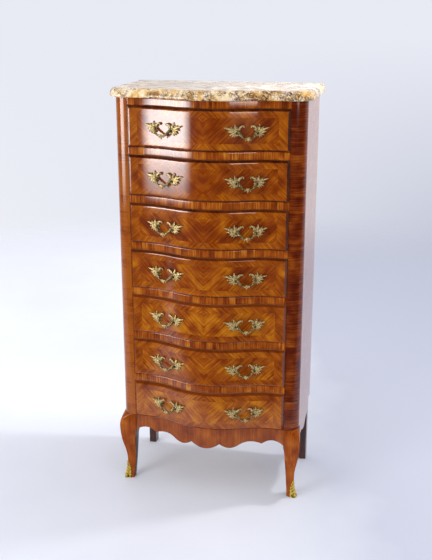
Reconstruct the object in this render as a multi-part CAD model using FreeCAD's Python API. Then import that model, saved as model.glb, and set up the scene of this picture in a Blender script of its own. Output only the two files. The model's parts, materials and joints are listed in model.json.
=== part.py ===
import FreeCAD, Part
import math
import os

# Seven-drawer semainier with a bowed front, marble top and sawn cabriole legs.
# Millimetres. X to the right, -Y to the front, +Z up.
# The origin is the middle of the bounding box at floor level.

# ---- case ---------------------------------------------------------------
case_width = 578.0            # over the side panels
case_depth = 294.0            # from the flat front plane to the back
base_height = 237.0           # floor to the top of the legs and aprons
post_width = 44.0             # rounded front post, from the side to the drawer opening
post_round_radius = 36.0      # quarter round of the post's outer corner
panel_thickness = 18.0        # side panels and side aprons
back_thickness = 8.0
back_rabbet_depth = 9.0       # how far the back panel reaches into each side panel
board_thickness = 14.0        # bottom board
top_board_thickness = 18.0
tongue_thickness = 8.0        # tongue that joins a side panel to its post
tongue_length = 8.0

# ---- bowed front line in plan -------------------------------------------
bow_depth = 47.0              # how far the middle stands in front of the flats
flat_width = 31.0             # from the edge of the drawer opening to the hollow flank
swelling_share = 0.5          # share of the curve's radii taken by the swelling middle
stock_margin = 10.0           # bowed stock is drawn this much longer, then cut to length

# ---- drawer openings and rails ------------------------------------------
drawer_count = 7
opening_height = 124.0
rail_thickness = 22.5         # between two drawers
top_rail_height = 22.0
rail_depth = 48.0             # behind the flat front plane
tenon_length = 14.0
tenon_thickness = 10.0
tenon_depth = 22.0
tenon_setback = 7.0           # from the flat front plane to the tenon's front face

# ---- marble --------------------------------------------------------------
marble_thickness = 28.0
marble_side_overhang = 18.0
marble_front_overhang = 18.0
marble_back_overhang = 6.0
marble_nose_radius = 15.0     # rounding of the upper edge
marble_ease = 4.0             # bevel of the lower edge

# ---- drawers -------------------------------------------------------------
front_projection = 10.0       # drawer front proud of the rails
front_thickness = 22.0        # at the straight ends
sawn_hollow = 41.0            # how far the middle of the sawn inner face steps forward
sawn_shoulder_share = 0.86    # corners of the sawn inner face, as shares of bow_half_width
sawn_middle_share = 0.28
front_gap = 1.0               # round the drawer front in its opening
bevel_width = 8.0             # bevel round the face
side_thickness = 10.0
side_top_gap = 4.0            # under the rail above
running_gap = 0.3             # under the sides, and at the stops
guide_gap = 0.5               # between a side and its guide strip
drawer_rear_gap = 6.0
tail_count = 2
tail_root_half = 13.0
tail_depth = 12.0
tail_slope = 1.0 / 6.0
bottom_thickness = 5.0
bottom_height = 9.0           # underside of the bottom above the side's lower edge
groove_depth = 5.0
rear_board_thickness = 10.0
rear_board_drop = 8.0         # below the top edge of the sides
rear_board_setback = 8.0      # from the rear end of the sides
housing_depth = 4.0

# ---- runners, guides and stops -------------------------------------------
runner_width = 44.0
guide_height = 24.0
stop_width = 30.0
stop_length = 16.0
stop_height = 6.0
stop_inset = 34.0             # middle of a stop from the edge of the opening

# ---- cast pulls ----------------------------------------------------------
pull_spacing = 240.0          # between the middles of the two pulls
pull_drop = 4.0               # middle of the pull below the middle of the drawer
pull_half_span = 66.0         # to the tip of the outer leaf
mount_thickness = 3.0
boss_offset = 27.0            # boss from the middle of the pull
boss_size = 5.5               # from the middle to a corner of the square boss
boss_root_height = 2.0        # buried in the mount
grip_half = 31.0
grip_reach = 18.0             # front of the grip from the drawer's face
grip_thickness = 6.0
grip_fall = 17.0              # lower edge of the grip below the pull's middle
grip_width = 8.0              # height of the grip at its middle
grip_tip_rise = 2.0           # ends of the grip above the pull's middle
grip_arm_share = 0.6          # corners of the arms, as shares of grip_half and grip_fall
grip_arm_fall = 0.8
grip_bend_share = 0.42
grip_bend_fall = 0.5
leaf_half_width = 5.0         # of the pendant leaf
mount_root_share = 0.18       # inner end of a mount as a share of the half span
leaf_drop = 6.0               # pendant leaf below the grip

# ---- aprons ---------------------------------------------------------------
apron_thickness = 20.0
centre_lobe_half = 46.0
centre_lobe_depth = 69.5      # depths are measured down from the top of the base
inner_cusp_depth = 52.0
side_lobe_middle = 78.0
side_lobe_depth = 65.5
lobe_fullness = 4.0           # rise of the side lobe's inner half above its lowest point
wave_fullness = 3.0
crest_fullness = 2.0
wave_middle = 110.0
wave_depth = 54.0
crest_middle = 138.0
crest_depth = 46.5
outer_cusp_middle = 176.0
outer_cusp_depth = 54.5
leg_arch_depth = 40.5
arch_foot_depth = 55.0        # where an arch runs into a leg
side_lobe_half = 34.0         # half width of the side apron's middle lobe
side_apron_lobe_depth = 58.0
side_apron_cusp_depth = 50.0
side_apron_arch_depth = 41.0
rear_apron_height = 40.0

# ---- legs ------------------------------------------------------------------
leg_tenon_size = 14.0         # square tenon on top of a front leg, into the post
leg_tenon_length = 20.0
leg_tenon_inset = 11.0        # from the opening side and from the flat front plane
leg_top_swell = 3.6           # knee beyond the block's outer face, at the back of the side
leg_ankle_waist = 12.0        # ankle inside the block's outer face
leg_knee_share = 0.845        # heights of knee and ankle as shares of the leg
leg_ankle_share = 0.245
leg_knee_radius_share = 0.6
leg_face_tilt = 6.5           # degrees by which each outer face swells towards the corner
leg_block_share = 0.768       # top of the hollow on the inner faces
leg_hollow_share = 0.632      # deepest point of the hollow behind the knee
leg_hollow_depth = 4.3
leg_foot_set = 14.0           # inner faces of the foot, out from the block's inner faces
leg_hollow_fullness = 0.75    # depth halfway down to the hollow, as a share of its depth
leg_foot_fullness = 0.55      # set of the inner face above the foot, as a share of the foot's
leg_foot_middle_share = 1.0 / 3.0   # height at which that is measured, as a share of the hollow's
rear_leg_inset = 4.0          # outer face inside the side panel's
rear_leg_width = 27.0
rear_leg_depth = 30.0
rear_leg_taper = 3.0          # taken off the inner face at the foot
sabot_height = 62.0
sabot_thickness = 2.6
sabot_half_width = 15.0
sabot_start_share = 0.9       # where the leaf's outline starts on the leg's diagonal
sabot_waist_share = 0.62      # half width at the leaf's shoulder, and the shoulder's height
sabot_shoulder_share = 0.52
toe_scroll_radius = 5.0
toe_scroll_length = 13.0
toe_scroll_sink = 0.8         # share of its radius by which the scroll is set into the toe

# ---- worked out from the sizes above ---------------------------------------
V = FreeCAD.Vector
case_half = case_width / 2
opening_half = case_half - post_width
panel_inner = case_half - panel_thickness
bow_half_width = opening_half - flat_width
level_pitch = opening_height + rail_thickness
openings_height = drawer_count * opening_height + (drawer_count - 1) * rail_thickness
case_top = base_height + openings_height + top_rail_height
marble_top_z = case_top + marble_thickness
rear_leg_inner = case_half - rear_leg_inset - rear_leg_width
front_plane = (bow_depth + marble_front_overhang - case_depth - marble_back_overhang) / 2
back_plane = front_plane + case_depth
back_panel_front = back_plane - back_thickness
rear_leg_front = back_plane - rear_leg_depth
bow_sweep = 2 * math.atan(bow_depth / bow_half_width)
bow_radii = bow_half_width / math.sin(bow_sweep)
swelling_radius = bow_radii * swelling_share
hollow_radius = bow_radii - swelling_radius
side_outer = opening_half - front_gap
side_inner = side_outer - side_thickness
inner_face = front_plane + front_thickness - front_projection
drawer_end = back_panel_front - drawer_rear_gap
parts_folder = "parts"


def box(x0, x1, y0, y1, z0, z1):
    """Box between two corners."""
    return Part.makeBox(x1 - x0, y1 - y0, z1 - z0, V(x0, y0, z0))


def mirrored(shape):
    """The same shape on the other side of the middle plane."""
    return shape.mirror(V(0, 0, 0), V(1, 0, 0))


def save(node, solids):
    """Write the solids of one node to its own STEP file."""
    shape = solids[0] if len(solids) == 1 else Part.makeCompound(solids)
    if not shape.isValid():
        raise ValueError(node + " is not a valid solid")
    shape.exportStep(os.path.join(parts_folder, node + ".step"))


def line(a, b):
    """Straight edge."""
    return Part.LineSegment(a, b).toShape()


def arc(a, middle, b):
    """Arc through three points."""
    return Part.Arc(a, middle, b).toShape()


def hollow_point(offset, angle):
    """Point on the right-hand hollow flank; angle 0 is where it meets the flat."""
    radius = hollow_radius - offset
    x = bow_half_width - radius * math.sin(angle)
    return V(x, front_plane - hollow_radius + radius * math.cos(angle), 0)


def swelling_point(offset, angle):
    """Point on the swelling middle; angle 0 is the foremost point."""
    radius = swelling_radius + offset
    y_centre = front_plane - bow_depth + swelling_radius
    return V(radius * math.sin(angle), y_centre - radius * math.cos(angle), 0)


def front_height(x, offset):
    """Y of the bowed line, moved forward by offset, at a place x across the front."""
    x = abs(x)
    if x >= bow_half_width:
        return front_plane - offset
    if x >= hollow_point(offset, bow_sweep).x:
        radius = hollow_radius - offset
        return front_plane - hollow_radius + math.sqrt(radius ** 2 - (bow_half_width - x) ** 2)
    radius = swelling_radius + offset
    return front_plane - bow_depth + swelling_radius - math.sqrt(radius ** 2 - x ** 2)


def front_line(offset, reach, z):
    """Edges of the bowed line from left to right: flat, hollow, swelling, hollow, flat."""
    up = V(0, 0, z)
    right = [
        V(reach, front_plane - offset, 0),
        hollow_point(offset, 0),
        hollow_point(offset, bow_sweep / 2),
        hollow_point(offset, bow_sweep),
    ]
    left = [V(-p.x, p.y, 0) for p in right]
    crown = swelling_point(offset, 0)
    return [
        line(left[0] + up, left[1] + up),
        arc(left[1] + up, left[2] + up, left[3] + up),
        arc(left[3] + up, crown + up, right[3] + up),
        arc(right[3] + up, right[2] + up, right[1] + up),
        line(right[1] + up, right[0] + up),
    ]


def stock_reach(half_width):
    """Half length of the bowed stock from which a piece is cut."""
    return max(half_width, bow_half_width) + stock_margin


def bowed_prism(front_offset, back, half_width, z0, z1):
    """Upright prism with a bowed front; back holds the points behind it, from right to left."""
    reach = stock_reach(half_width)
    front = front_line(front_offset, reach, z0)
    corners = [front[-1].Vertexes[-1].Point] + [V(p.x, p.y, z0) for p in back]
    corners.append(front[0].Vertexes[0].Point)
    behind = [line(a, b) for a, b in zip(corners, corners[1:])]
    prism = Part.Face(Part.Wire(Part.__sortEdges__(front + behind))).extrude(V(0, 0, z1 - z0))
    y_front = front_plane - bow_depth - front_offset - 1
    y_back = max(p.y for p in back) + 1
    return prism.common(box(-half_width, half_width, y_front, y_back, z0, z1)).Solids[0]


def bowed_block(front_offset, y_back, half_width, z0, z1):
    """Block with a bowed front and a straight back."""
    reach = stock_reach(half_width)
    return bowed_prism(front_offset, [V(reach, y_back, 0), V(-reach, y_back, 0)], half_width, z0, z1)


def sawn_line(y_flat, reach):
    """Points from right to left of a rough inner face, sawn in five straight cuts."""
    shoulder = bow_half_width * sawn_shoulder_share
    inner = bow_half_width * sawn_middle_share
    right = [V(reach, y_flat, 0), V(shoulder, y_flat, 0), V(inner, y_flat - sawn_hollow, 0)]
    return right + [V(-p.x, p.y, 0) for p in reversed(right)]


def sawn_board(front_offset, y_flat, half_width, z0, z1):
    """Board with a bowed front and a sawn inner face."""
    reach = stock_reach(half_width)
    return bowed_prism(front_offset, sawn_line(y_flat, reach), half_width, z0, z1)


def sawn_panel(y_flat, y_back, half_width, z0, z1):
    """Flat board whose front edge follows a sawn inner face."""
    corners = [V(p.x, p.y, z0) for p in sawn_line(y_flat, half_width)]
    corners += [V(-half_width, y_back, z0), V(half_width, y_back, z0)]
    return Part.Face(Part.makePolygon(corners + [corners[0]])).extrude(V(0, 0, z1 - z0))


def drawer_floor(number):
    """Height of the lower edge of an opening; drawer 1 is the topmost."""
    return base_height + (drawer_count - number) * level_pitch


def tenon_box(z_middle, inset):
    """Stub tenon at the right-hand end of a rail, from inset inside the opening edge."""
    y0 = front_plane + tenon_setback
    return box(opening_half - inset, opening_half + tenon_length, y0, y0 + tenon_depth,
               z_middle - tenon_thickness / 2, z_middle + tenon_thickness / 2)


# ---- case -------------------------------------------------------------------

def make_rail(z0, z1):
    """Bowed front rail with a stub tenon at each end."""
    rail = bowed_block(0, front_plane + rail_depth, opening_half, z0, z1)
    tenon = tenon_box((z0 + z1) / 2, 1.0)
    return rail.fuse([tenon, mirrored(tenon)]).removeSplitter()


def rail_levels():
    """Lower and upper face of each rail above a drawer, from the top rail down."""
    levels = [(case_top - top_rail_height, case_top)]
    for number in range(2, drawer_count + 1):
        ceiling = drawer_floor(number) + opening_height
        levels.append((ceiling, ceiling + rail_thickness))
    return levels


def side_tongue():
    """Tongue along the front edge of the right side panel."""
    x_middle = case_half - panel_thickness / 2
    y_joint = front_plane + post_round_radius
    return box(x_middle - tongue_thickness / 2, x_middle + tongue_thickness / 2,
               y_joint - tongue_length, y_joint, base_height + tongue_length,
               case_top - tongue_length)


def leg_tenon():
    """Square tenon on top of the right front leg."""
    x0 = opening_half + leg_tenon_inset
    y0 = front_plane + leg_tenon_inset
    return box(x0, x0 + leg_tenon_size, y0, y0 + leg_tenon_size, base_height,
               base_height + leg_tenon_length)


def make_post():
    """Right front post: flat face, rounded corner, grooved for the panel and mortised."""
    y_back = front_plane + post_round_radius
    start = V(case_half - post_round_radius, front_plane, base_height)
    corner = V(case_half, y_back, base_height)
    turn = post_round_radius * math.sqrt(0.5)
    middle = V(start.x + turn, y_back - turn, base_height)
    inner_front = V(opening_half, front_plane, base_height)
    inner_back = V(opening_half, y_back, base_height)
    edges = [
        line(inner_front, start),
        arc(start, middle, corner),
        line(corner, inner_back),
        line(inner_back, inner_front),
    ]
    post = Part.Face(Part.Wire(edges)).extrude(V(0, 0, case_top - base_height))
    cutters = [side_tongue(), leg_tenon()]
    for z0, z1 in rail_levels():
        cutters.append(tenon_box((z0 + z1) / 2, 0.0))
    return post.cut(cutters)


def make_side_panel():
    """Right side panel with its tongue and the rabbet for the back."""
    y_joint = front_plane + post_round_radius
    panel = box(panel_inner, case_half, y_joint, back_plane, base_height, case_top)
    rabbet = box(panel_inner, panel_inner + back_rabbet_depth, back_panel_front, back_plane,
                 base_height, case_top)
    return panel.fuse(side_tongue()).cut(rabbet)


def make_back():
    """Plain back panel let into both sides."""
    half = panel_inner + back_rabbet_depth
    return box(-half, half, back_panel_front, back_plane, base_height, case_top)


def make_top_board():
    """Board under the marble, behind the top rail."""
    return box(-panel_inner, panel_inner, front_plane + rail_depth, back_panel_front,
               case_top - top_board_thickness, case_top)


def leg_blocks():
    """Upright blocks of the four legs as the bottom board and aprons meet them."""
    front = box(opening_half, case_half, front_plane, front_plane + post_width, 0, base_height)
    rear = box(rear_leg_inner, rear_leg_inner + rear_leg_width, rear_leg_front, back_plane,
               0, base_height)
    return [front, mirrored(front), rear, mirrored(rear)]


def make_bottom_board():
    """Board behind the front apron that closes the case and carries the lowest drawer."""
    board = sawn_panel(front_plane + apron_thickness, back_plane - apron_thickness, panel_inner,
                       base_height - board_thickness, base_height)
    return board.cut(leg_blocks())


def make_marble():
    """Marble slab: bowed front, rounded front corners and an eased edge on the three free sides."""
    half = case_half + marble_side_overhang
    y_back = back_plane + marble_back_overhang
    slab = bowed_block(marble_front_overhang, y_back, half, case_top, marble_top_z)
    corners = [e for e in slab.Edges if e.BoundBox.ZLength > marble_thickness / 2
               and abs(e.BoundBox.XMin) > half - 0.1 and e.BoundBox.YMax < y_back - 1]
    slab = slab.makeFillet(post_round_radius + marble_front_overhang, corners)

    def free_rim(z):
        return [e for e in slab.Edges if e.BoundBox.ZMin > z - 0.1 and e.BoundBox.ZMax < z + 0.1
                and e.BoundBox.YMin < y_back - 0.1]

    slab = slab.makeFillet(marble_nose_radius, free_rim(marble_top_z))
    return slab.makeChamfer(marble_ease, free_rim(case_top))


# ---- base -------------------------------------------------------------------

def leg_curves(extra):
    """Outer curves of the leg's template: knee and ankle arcs that meet in a tangent.

    Distances run outwards from the inner face of the leg's block. Two circles touch from
    outside when their centres are the sum of their radii apart, which fixes that sum from
    the swell between knee and ankle and the height between them. extra moves the curves
    outwards, for a shell round the leg.
    """
    knee = V(post_width + leg_top_swell, 0, base_height * leg_knee_share)
    ankle = V(post_width - leg_ankle_waist, 0, base_height * leg_ankle_share)
    swell = knee.x - ankle.x
    fall = knee.z - ankle.z
    radii = (swell ** 2 + fall ** 2) / (2 * swell)
    knee_radius = radii * leg_knee_radius_share
    ankle_radius = radii - knee_radius
    knee_centre = V(knee.x - knee_radius, 0, knee.z)
    ankle_centre = V(ankle.x + ankle_radius, 0, ankle.z)
    turn = knee_centre + (ankle_centre - knee_centre) * ((knee_radius + extra) / radii)

    def knee_point(z):
        return V(knee_centre.x + math.sqrt((knee_radius + extra) ** 2 - (z - knee.z) ** 2), 0, z)

    def ankle_point(z):
        return V(ankle_centre.x - math.sqrt((ankle_radius - extra) ** 2 - (z - ankle.z) ** 2), 0, z)

    upper = (knee_point(base_height), knee_point((base_height + turn.z) / 2), turn)
    lower = (turn, ankle_point(turn.z / 2), ankle_point(0))
    return upper, lower


def leg_origin():
    """Inner back corner of the right front leg's block, at the floor."""
    return V(opening_half, front_plane + post_width, 0)


def both_faces(prism):
    """Common part of a template's cut through the leg and the same cut on the next face."""
    other = prism.mirror(leg_origin(), V(1, 1, 0).normalize())
    return prism.common(other)


def leg_outside(extra):
    """Outer faces of the right front leg, cut with one template on two faces."""
    upper, lower = leg_curves(extra)
    origin = leg_origin()
    inner_top = origin + V(-post_width, 0, base_height)
    inner_foot = origin + V(-post_width, 0, 0)
    edges = [
        line(inner_top, origin + upper[0]),
        arc(*[origin + p for p in upper]),
        arc(*[origin + p for p in lower]),
        line(origin + lower[2], inner_foot),
        line(inner_foot, inner_top),
    ]
    tilt = math.tan(math.radians(leg_face_tilt))
    cut = Part.Face(Part.Wire(edges)).extrude(V(tilt, -1, 0) * (post_width * 2))
    return both_faces(cut)


def leg_inside():
    """Space kept by the leg's inner faces: block, hollow behind the knee and set-out foot."""
    origin = leg_origin()
    reach = post_width * 2
    z_block = base_height * leg_block_share
    z_hollow = base_height * leg_hollow_share

    def at(t, z):
        return origin + V(t, 0, z)

    edges = [
        line(at(reach, base_height), at(0, base_height)),
        line(at(0, base_height), at(0, z_block)),
        arc(at(0, z_block), at(leg_hollow_depth * leg_hollow_fullness, (z_block + z_hollow) / 2),
            at(leg_hollow_depth, z_hollow)),
        arc(at(leg_hollow_depth, z_hollow),
            at(leg_foot_set * leg_foot_fullness, z_hollow * leg_foot_middle_share),
            at(leg_foot_set, 0)),
        line(at(leg_foot_set, 0), at(reach, 0)),
        line(at(reach, 0), at(reach, base_height)),
    ]
    cut = Part.Face(Part.Wire(edges)).extrude(V(0, -reach, 0))
    return both_faces(cut)


def make_front_leg():
    """Right front leg: sawn cabriole with a square block for the aprons and a tenon on top."""
    leg = leg_outside(0).common(leg_inside()).Solids[0]
    return leg.cut([apron_tenon(), side_apron_tenon(True)]).fuse(leg_tenon())


def sabot_leaf():
    """Pointed outline of the sabot, drawn out along the diagonal of the leg."""
    diagonal = V(1, -1, 0).normalize()
    across = V(1, 1, 0).normalize()
    middle = leg_origin() + diagonal * (post_width * sabot_start_share)
    left = middle - across * sabot_half_width
    right = middle + across * sabot_half_width
    tip = middle + V(0, 0, sabot_height)
    waist = sabot_half_width * sabot_waist_share
    shoulder = V(0, 0, sabot_height * sabot_shoulder_share)
    edges = [
        line(left, right),
        arc(right, middle + across * waist + shoulder, tip),
        arc(tip, middle - across * waist + shoulder, left),
    ]
    return Part.Face(Part.Wire(edges)).extrude(diagonal * post_width)


def make_sabot():
    """Brass leaf that wraps the ridge of the right foot and ends in a toe scroll."""
    leg = leg_outside(0)
    shell = leg_outside(sabot_thickness).common(sabot_leaf()).cut(leg)
    upper, lower = leg_curves(sabot_thickness)
    ridge = lower[2].x / (1 - math.tan(math.radians(leg_face_tilt)))
    toe = ridge - toe_scroll_radius * toe_scroll_sink
    across = V(1, 1, 0).normalize()
    start = leg_origin() + V(toe, -toe, toe_scroll_radius) - across * (toe_scroll_length / 2)
    scroll = Part.makeCylinder(toe_scroll_radius, toe_scroll_length, start, across)
    return shell.fuse(scroll.cut(leg)).Solids[0]


def make_rear_leg():
    """Right rear leg: straight, with a tapered inner face."""
    x_out = rear_leg_inner + rear_leg_width
    corners = [
        V(rear_leg_inner + rear_leg_taper, rear_leg_front, 0),
        V(x_out, rear_leg_front, 0),
        V(x_out, rear_leg_front, base_height),
        V(rear_leg_inner, rear_leg_front, base_height),
        V(rear_leg_inner, rear_leg_front, base_height - rear_apron_height),
    ]
    leg = Part.Face(Part.makePolygon(corners + [corners[0]])).extrude(V(0, rear_leg_depth, 0))
    return leg.cut([side_apron_tenon(False), rear_apron_tenon()])


def apron_tenon():
    """Stub tenon at the right-hand end of the front apron."""
    y0 = front_plane + tenon_setback
    z1 = base_height - tenon_thickness
    return box(opening_half, opening_half + tenon_length, y0, y0 + apron_thickness / 2,
               z1 - tenon_depth, z1)


def side_apron_tenon(at_front):
    """Stub tenon of the right side apron, into the front or the rear leg."""
    x_middle = case_half - panel_thickness / 2
    z1 = base_height - tenon_thickness
    if at_front:
        y1 = front_plane + post_width
        y0 = y1 - tenon_length
    else:
        y0 = rear_leg_front
        y1 = y0 + tenon_length
    return box(x_middle - tongue_thickness / 2, x_middle + tongue_thickness / 2, y0, y1,
               z1 - tenon_depth, z1)


def rear_apron_tenon():
    """Stub tenon at the right-hand end of the rear apron."""
    x0 = rear_leg_inner
    y_middle = back_plane - apron_thickness / 2
    z1 = base_height - tenon_thickness
    return box(x0, x0 + tenon_length, y_middle - tongue_thickness / 2,
               y_middle + tongue_thickness / 2, z1 - tenon_depth, z1)


def front_apron_outline(y):
    """Scalloped outline of the front apron in an upright plane."""

    def at(x, depth):
        return V(x, y, base_height - depth)

    half = [
        (at(centre_lobe_half, inner_cusp_depth),
         at((centre_lobe_half + side_lobe_middle) / 2, side_lobe_depth - lobe_fullness),
         at(side_lobe_middle, side_lobe_depth)),
        (at(side_lobe_middle, side_lobe_depth),
         at((side_lobe_middle + wave_middle) / 2, side_lobe_depth - wave_fullness),
         at(wave_middle, wave_depth)),
        (at(wave_middle, wave_depth),
         at((wave_middle + crest_middle) / 2, crest_depth + crest_fullness),
         at(crest_middle, crest_depth)),
        (at(crest_middle, crest_depth),
         at((crest_middle + outer_cusp_middle) / 2, crest_depth + crest_fullness),
         at(outer_cusp_middle, outer_cusp_depth)),
        (at(outer_cusp_middle, outer_cusp_depth),
         at((outer_cusp_middle + opening_half) / 2, leg_arch_depth),
         at(opening_half, arch_foot_depth)),
    ]
    right = [arc(a, b, c) for a, b, c in half]
    left = [arc(V(-c.x, y, c.z), V(-b.x, y, b.z), V(-a.x, y, a.z)) for a, b, c in half]
    centre = arc(at(-centre_lobe_half, inner_cusp_depth), at(0, centre_lobe_depth),
                 at(centre_lobe_half, inner_cusp_depth))
    frame = [
        line(at(opening_half, arch_foot_depth), at(opening_half, 0)),
        line(at(opening_half, 0), at(-opening_half, 0)),
        line(at(-opening_half, 0), at(-opening_half, arch_foot_depth)),
    ]
    return Part.Wire(Part.__sortEdges__(left + [centre] + right + frame))


def make_front_apron():
    """Bowed and scalloped front apron with a stub tenon at each end."""
    z0 = base_height - centre_lobe_depth - 1
    slab = sawn_board(0, front_plane + apron_thickness, opening_half, z0, base_height)
    y0 = front_plane - bow_depth - 5
    prism = Part.Face(front_apron_outline(y0)).extrude(V(0, bow_depth + apron_thickness + 10, 0))
    tenon = apron_tenon()
    return slab.common(prism).fuse([tenon, mirrored(tenon)])


def make_side_apron():
    """Right side apron with one middle lobe between two arches."""
    y_front = front_plane + post_width
    y_rear = rear_leg_front
    y_middle = (y_front + y_rear) / 2
    x0 = panel_inner

    def at(y, depth):
        return V(x0, y, base_height - depth)

    lobe_front = y_middle - side_lobe_half
    lobe_rear = y_middle + side_lobe_half
    edges = [
        arc(at(y_front, arch_foot_depth), at((y_front + lobe_front) / 2, side_apron_arch_depth),
            at(lobe_front, side_apron_cusp_depth)),
        arc(at(lobe_front, side_apron_cusp_depth), at(y_middle, side_apron_lobe_depth),
            at(lobe_rear, side_apron_cusp_depth)),
        arc(at(lobe_rear, side_apron_cusp_depth), at((lobe_rear + y_rear) / 2, side_apron_arch_depth),
            at(y_rear, arch_foot_depth)),
        line(at(y_rear, arch_foot_depth), at(y_rear, 0)),
        line(at(y_rear, 0), at(y_front, 0)),
        line(at(y_front, 0), at(y_front, arch_foot_depth)),
    ]
    apron = Part.Face(Part.Wire(edges)).extrude(V(panel_thickness, 0, 0))
    return apron.fuse([side_apron_tenon(True), side_apron_tenon(False)])


def make_rear_apron():
    """Plain rail between the rear legs."""
    half = rear_leg_inner
    rail = box(-half, half, back_plane - apron_thickness, back_plane,
               base_height - rear_apron_height, base_height)
    tenon = rear_apron_tenon()
    return rail.fuse([tenon, mirrored(tenon)])


# ---- runners, guides and stops -----------------------------------------------

def make_runners():
    """L-shaped runner with its guide at both sides of every level, and two stops on each rail."""
    y0 = front_plane + rail_depth
    length = V(0, back_panel_front - y0, 0)
    x_guide = side_outer + guide_gap
    x_stop = opening_half - stop_inset
    y_stop = inner_face + running_gap
    solids = []
    for number in range(1, drawer_count + 1):
        floor = drawer_floor(number)
        under = floor - rail_thickness if number < drawer_count else floor
        corners = [
            V(panel_inner, y0, floor + guide_height),
            V(x_guide, y0, floor + guide_height),
            V(x_guide, y0, floor),
        ]
        if under < floor:
            corners += [V(panel_inner - runner_width, y0, floor), V(panel_inner - runner_width, y0, under)]
        corners.append(V(panel_inner, y0, under))
        solids.append(Part.Face(Part.makePolygon(corners + [corners[0]])).extrude(length))
        solids.append(box(x_stop - stop_width / 2, x_stop + stop_width / 2, y_stop,
                          y_stop + stop_length, floor, floor + stop_height))
    return solids + [mirrored(s) for s in solids]


# ---- drawers ------------------------------------------------------------------

def dovetails(z0, z1):
    """Tails at the front end of the right-hand side, for the half-blind joint."""
    y_root = inner_face
    y_end = y_root - tail_depth
    spread = tail_depth * tail_slope
    pitch = (z1 - z0) / tail_count
    tails = []
    for index in range(tail_count):
        middle = z0 + pitch * (index + 0.5)
        corners = [
            V(side_inner, y_root + 1, middle - tail_root_half),
            V(side_inner, y_root, middle - tail_root_half),
            V(side_inner, y_end, middle - tail_root_half - spread),
            V(side_inner, y_end, middle + tail_root_half + spread),
            V(side_inner, y_root, middle + tail_root_half),
            V(side_inner, y_root + 1, middle + tail_root_half),
        ]
        outline = Part.makePolygon(corners + [corners[0]])
        tails.append(Part.Face(outline).extrude(V(side_thickness, 0, 0)))
    return tails


def front_slope():
    """Direction of the drawer's face at the middle of the right pull."""
    x = pull_spacing / 2
    return (face_point(x + 1) - face_point(x - 1)).normalize()


def face_point(x):
    """Point on the face of a drawer front, at a place x across it."""
    return V(x, front_height(x, front_projection), 0)


def seat_frame(x_near, x_far):
    """Origin and directions of a flat seat that rests on the drawer's face between two places."""
    near = face_point(x_near)
    along = (face_point(x_far) - near).normalize()
    outward = V(along.y, -along.x, 0)
    steps = [x_near + (x_far - x_near) * k / 8 for k in range(9)]
    rise = max((face_point(x) - near).dot(outward) for x in steps)
    return near + outward * rise, along, outward


def mount_plate(side, z):
    """One leafy mount of the right pull; side is -1 towards the middle, +1 away from it.

    The points of the leaf are shares of the half span, across and up.
    """
    leaf_points = [
        (mount_root_share, 0.24), (0.28, -0.06), (0.42, -0.24), (0.50, -0.14), (0.66, -0.12),
        (0.80, 0.05), (1.00, 0.20), (0.68, 0.19), (0.54, 0.33), (0.46, 0.18),
    ]
    x_ends = sorted(pull_spacing / 2 + side * share * pull_half_span * front_slope().x
                    for share in (mount_root_share, 1.0))
    origin, along, outward = seat_frame(*x_ends)
    span = (face_point(x_ends[1]) - face_point(x_ends[0])).Length
    corners = []
    for share, rise in leaf_points:
        run = (share - mount_root_share) / (1.0 - mount_root_share) * span
        place = run if side > 0 else span - run
        corners.append(origin + along * place + V(0, 0, z + rise * pull_half_span))
    return Part.Face(Part.makePolygon(corners + [corners[0]])).extrude(outward * mount_thickness)


def make_pull(z):
    """Right pull: two leafy mounts, two bosses and a drooping grip with a pendant leaf."""
    x_mid = pull_spacing / 2
    slope = front_slope()
    near = face_point(x_mid - boss_offset * slope.x)
    far = face_point(x_mid + boss_offset * slope.x)
    along = (far - near).normalize()
    outward = V(along.y, -along.x, 0)
    middle = (near + far) * 0.5 + V(0, 0, z)

    def at(s, height, reach):
        return middle + along * s + V(0, 0, height) + outward * reach

    def boss(s):
        root = boss_root_height
        corners = [at(s + boss_size, 0, root), at(s, boss_size, root), at(s - boss_size, 0, root),
                   at(s, -boss_size, root)]
        height = grip_reach - grip_thickness / 2 - root
        return Part.Face(Part.makePolygon(corners + [corners[0]])).extrude(outward * height)

    grip_back = grip_reach - grip_thickness
    half = [
        (0, -grip_fall - leaf_drop), (leaf_half_width, -grip_fall),
        (grip_half * grip_arm_share, -grip_fall * grip_arm_fall), (grip_half, grip_tip_rise),
        (grip_half - grip_width, grip_tip_rise * 2),
        (grip_half * grip_bend_share, -grip_fall * grip_bend_fall),
        (0, -grip_fall + grip_width),
    ]
    outline = half + [(-s, height) for s, height in reversed(half[1:-1])]
    corners = [at(s, height, grip_back) for s, height in outline]
    grip = Part.Face(Part.makePolygon(corners + [corners[0]])).extrude(outward * grip_thickness)
    pieces = [mount_plate(-1, z), mount_plate(1, z), boss(-boss_offset), boss(boss_offset)]
    return grip.fuse(pieces).Solids[0]


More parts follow.
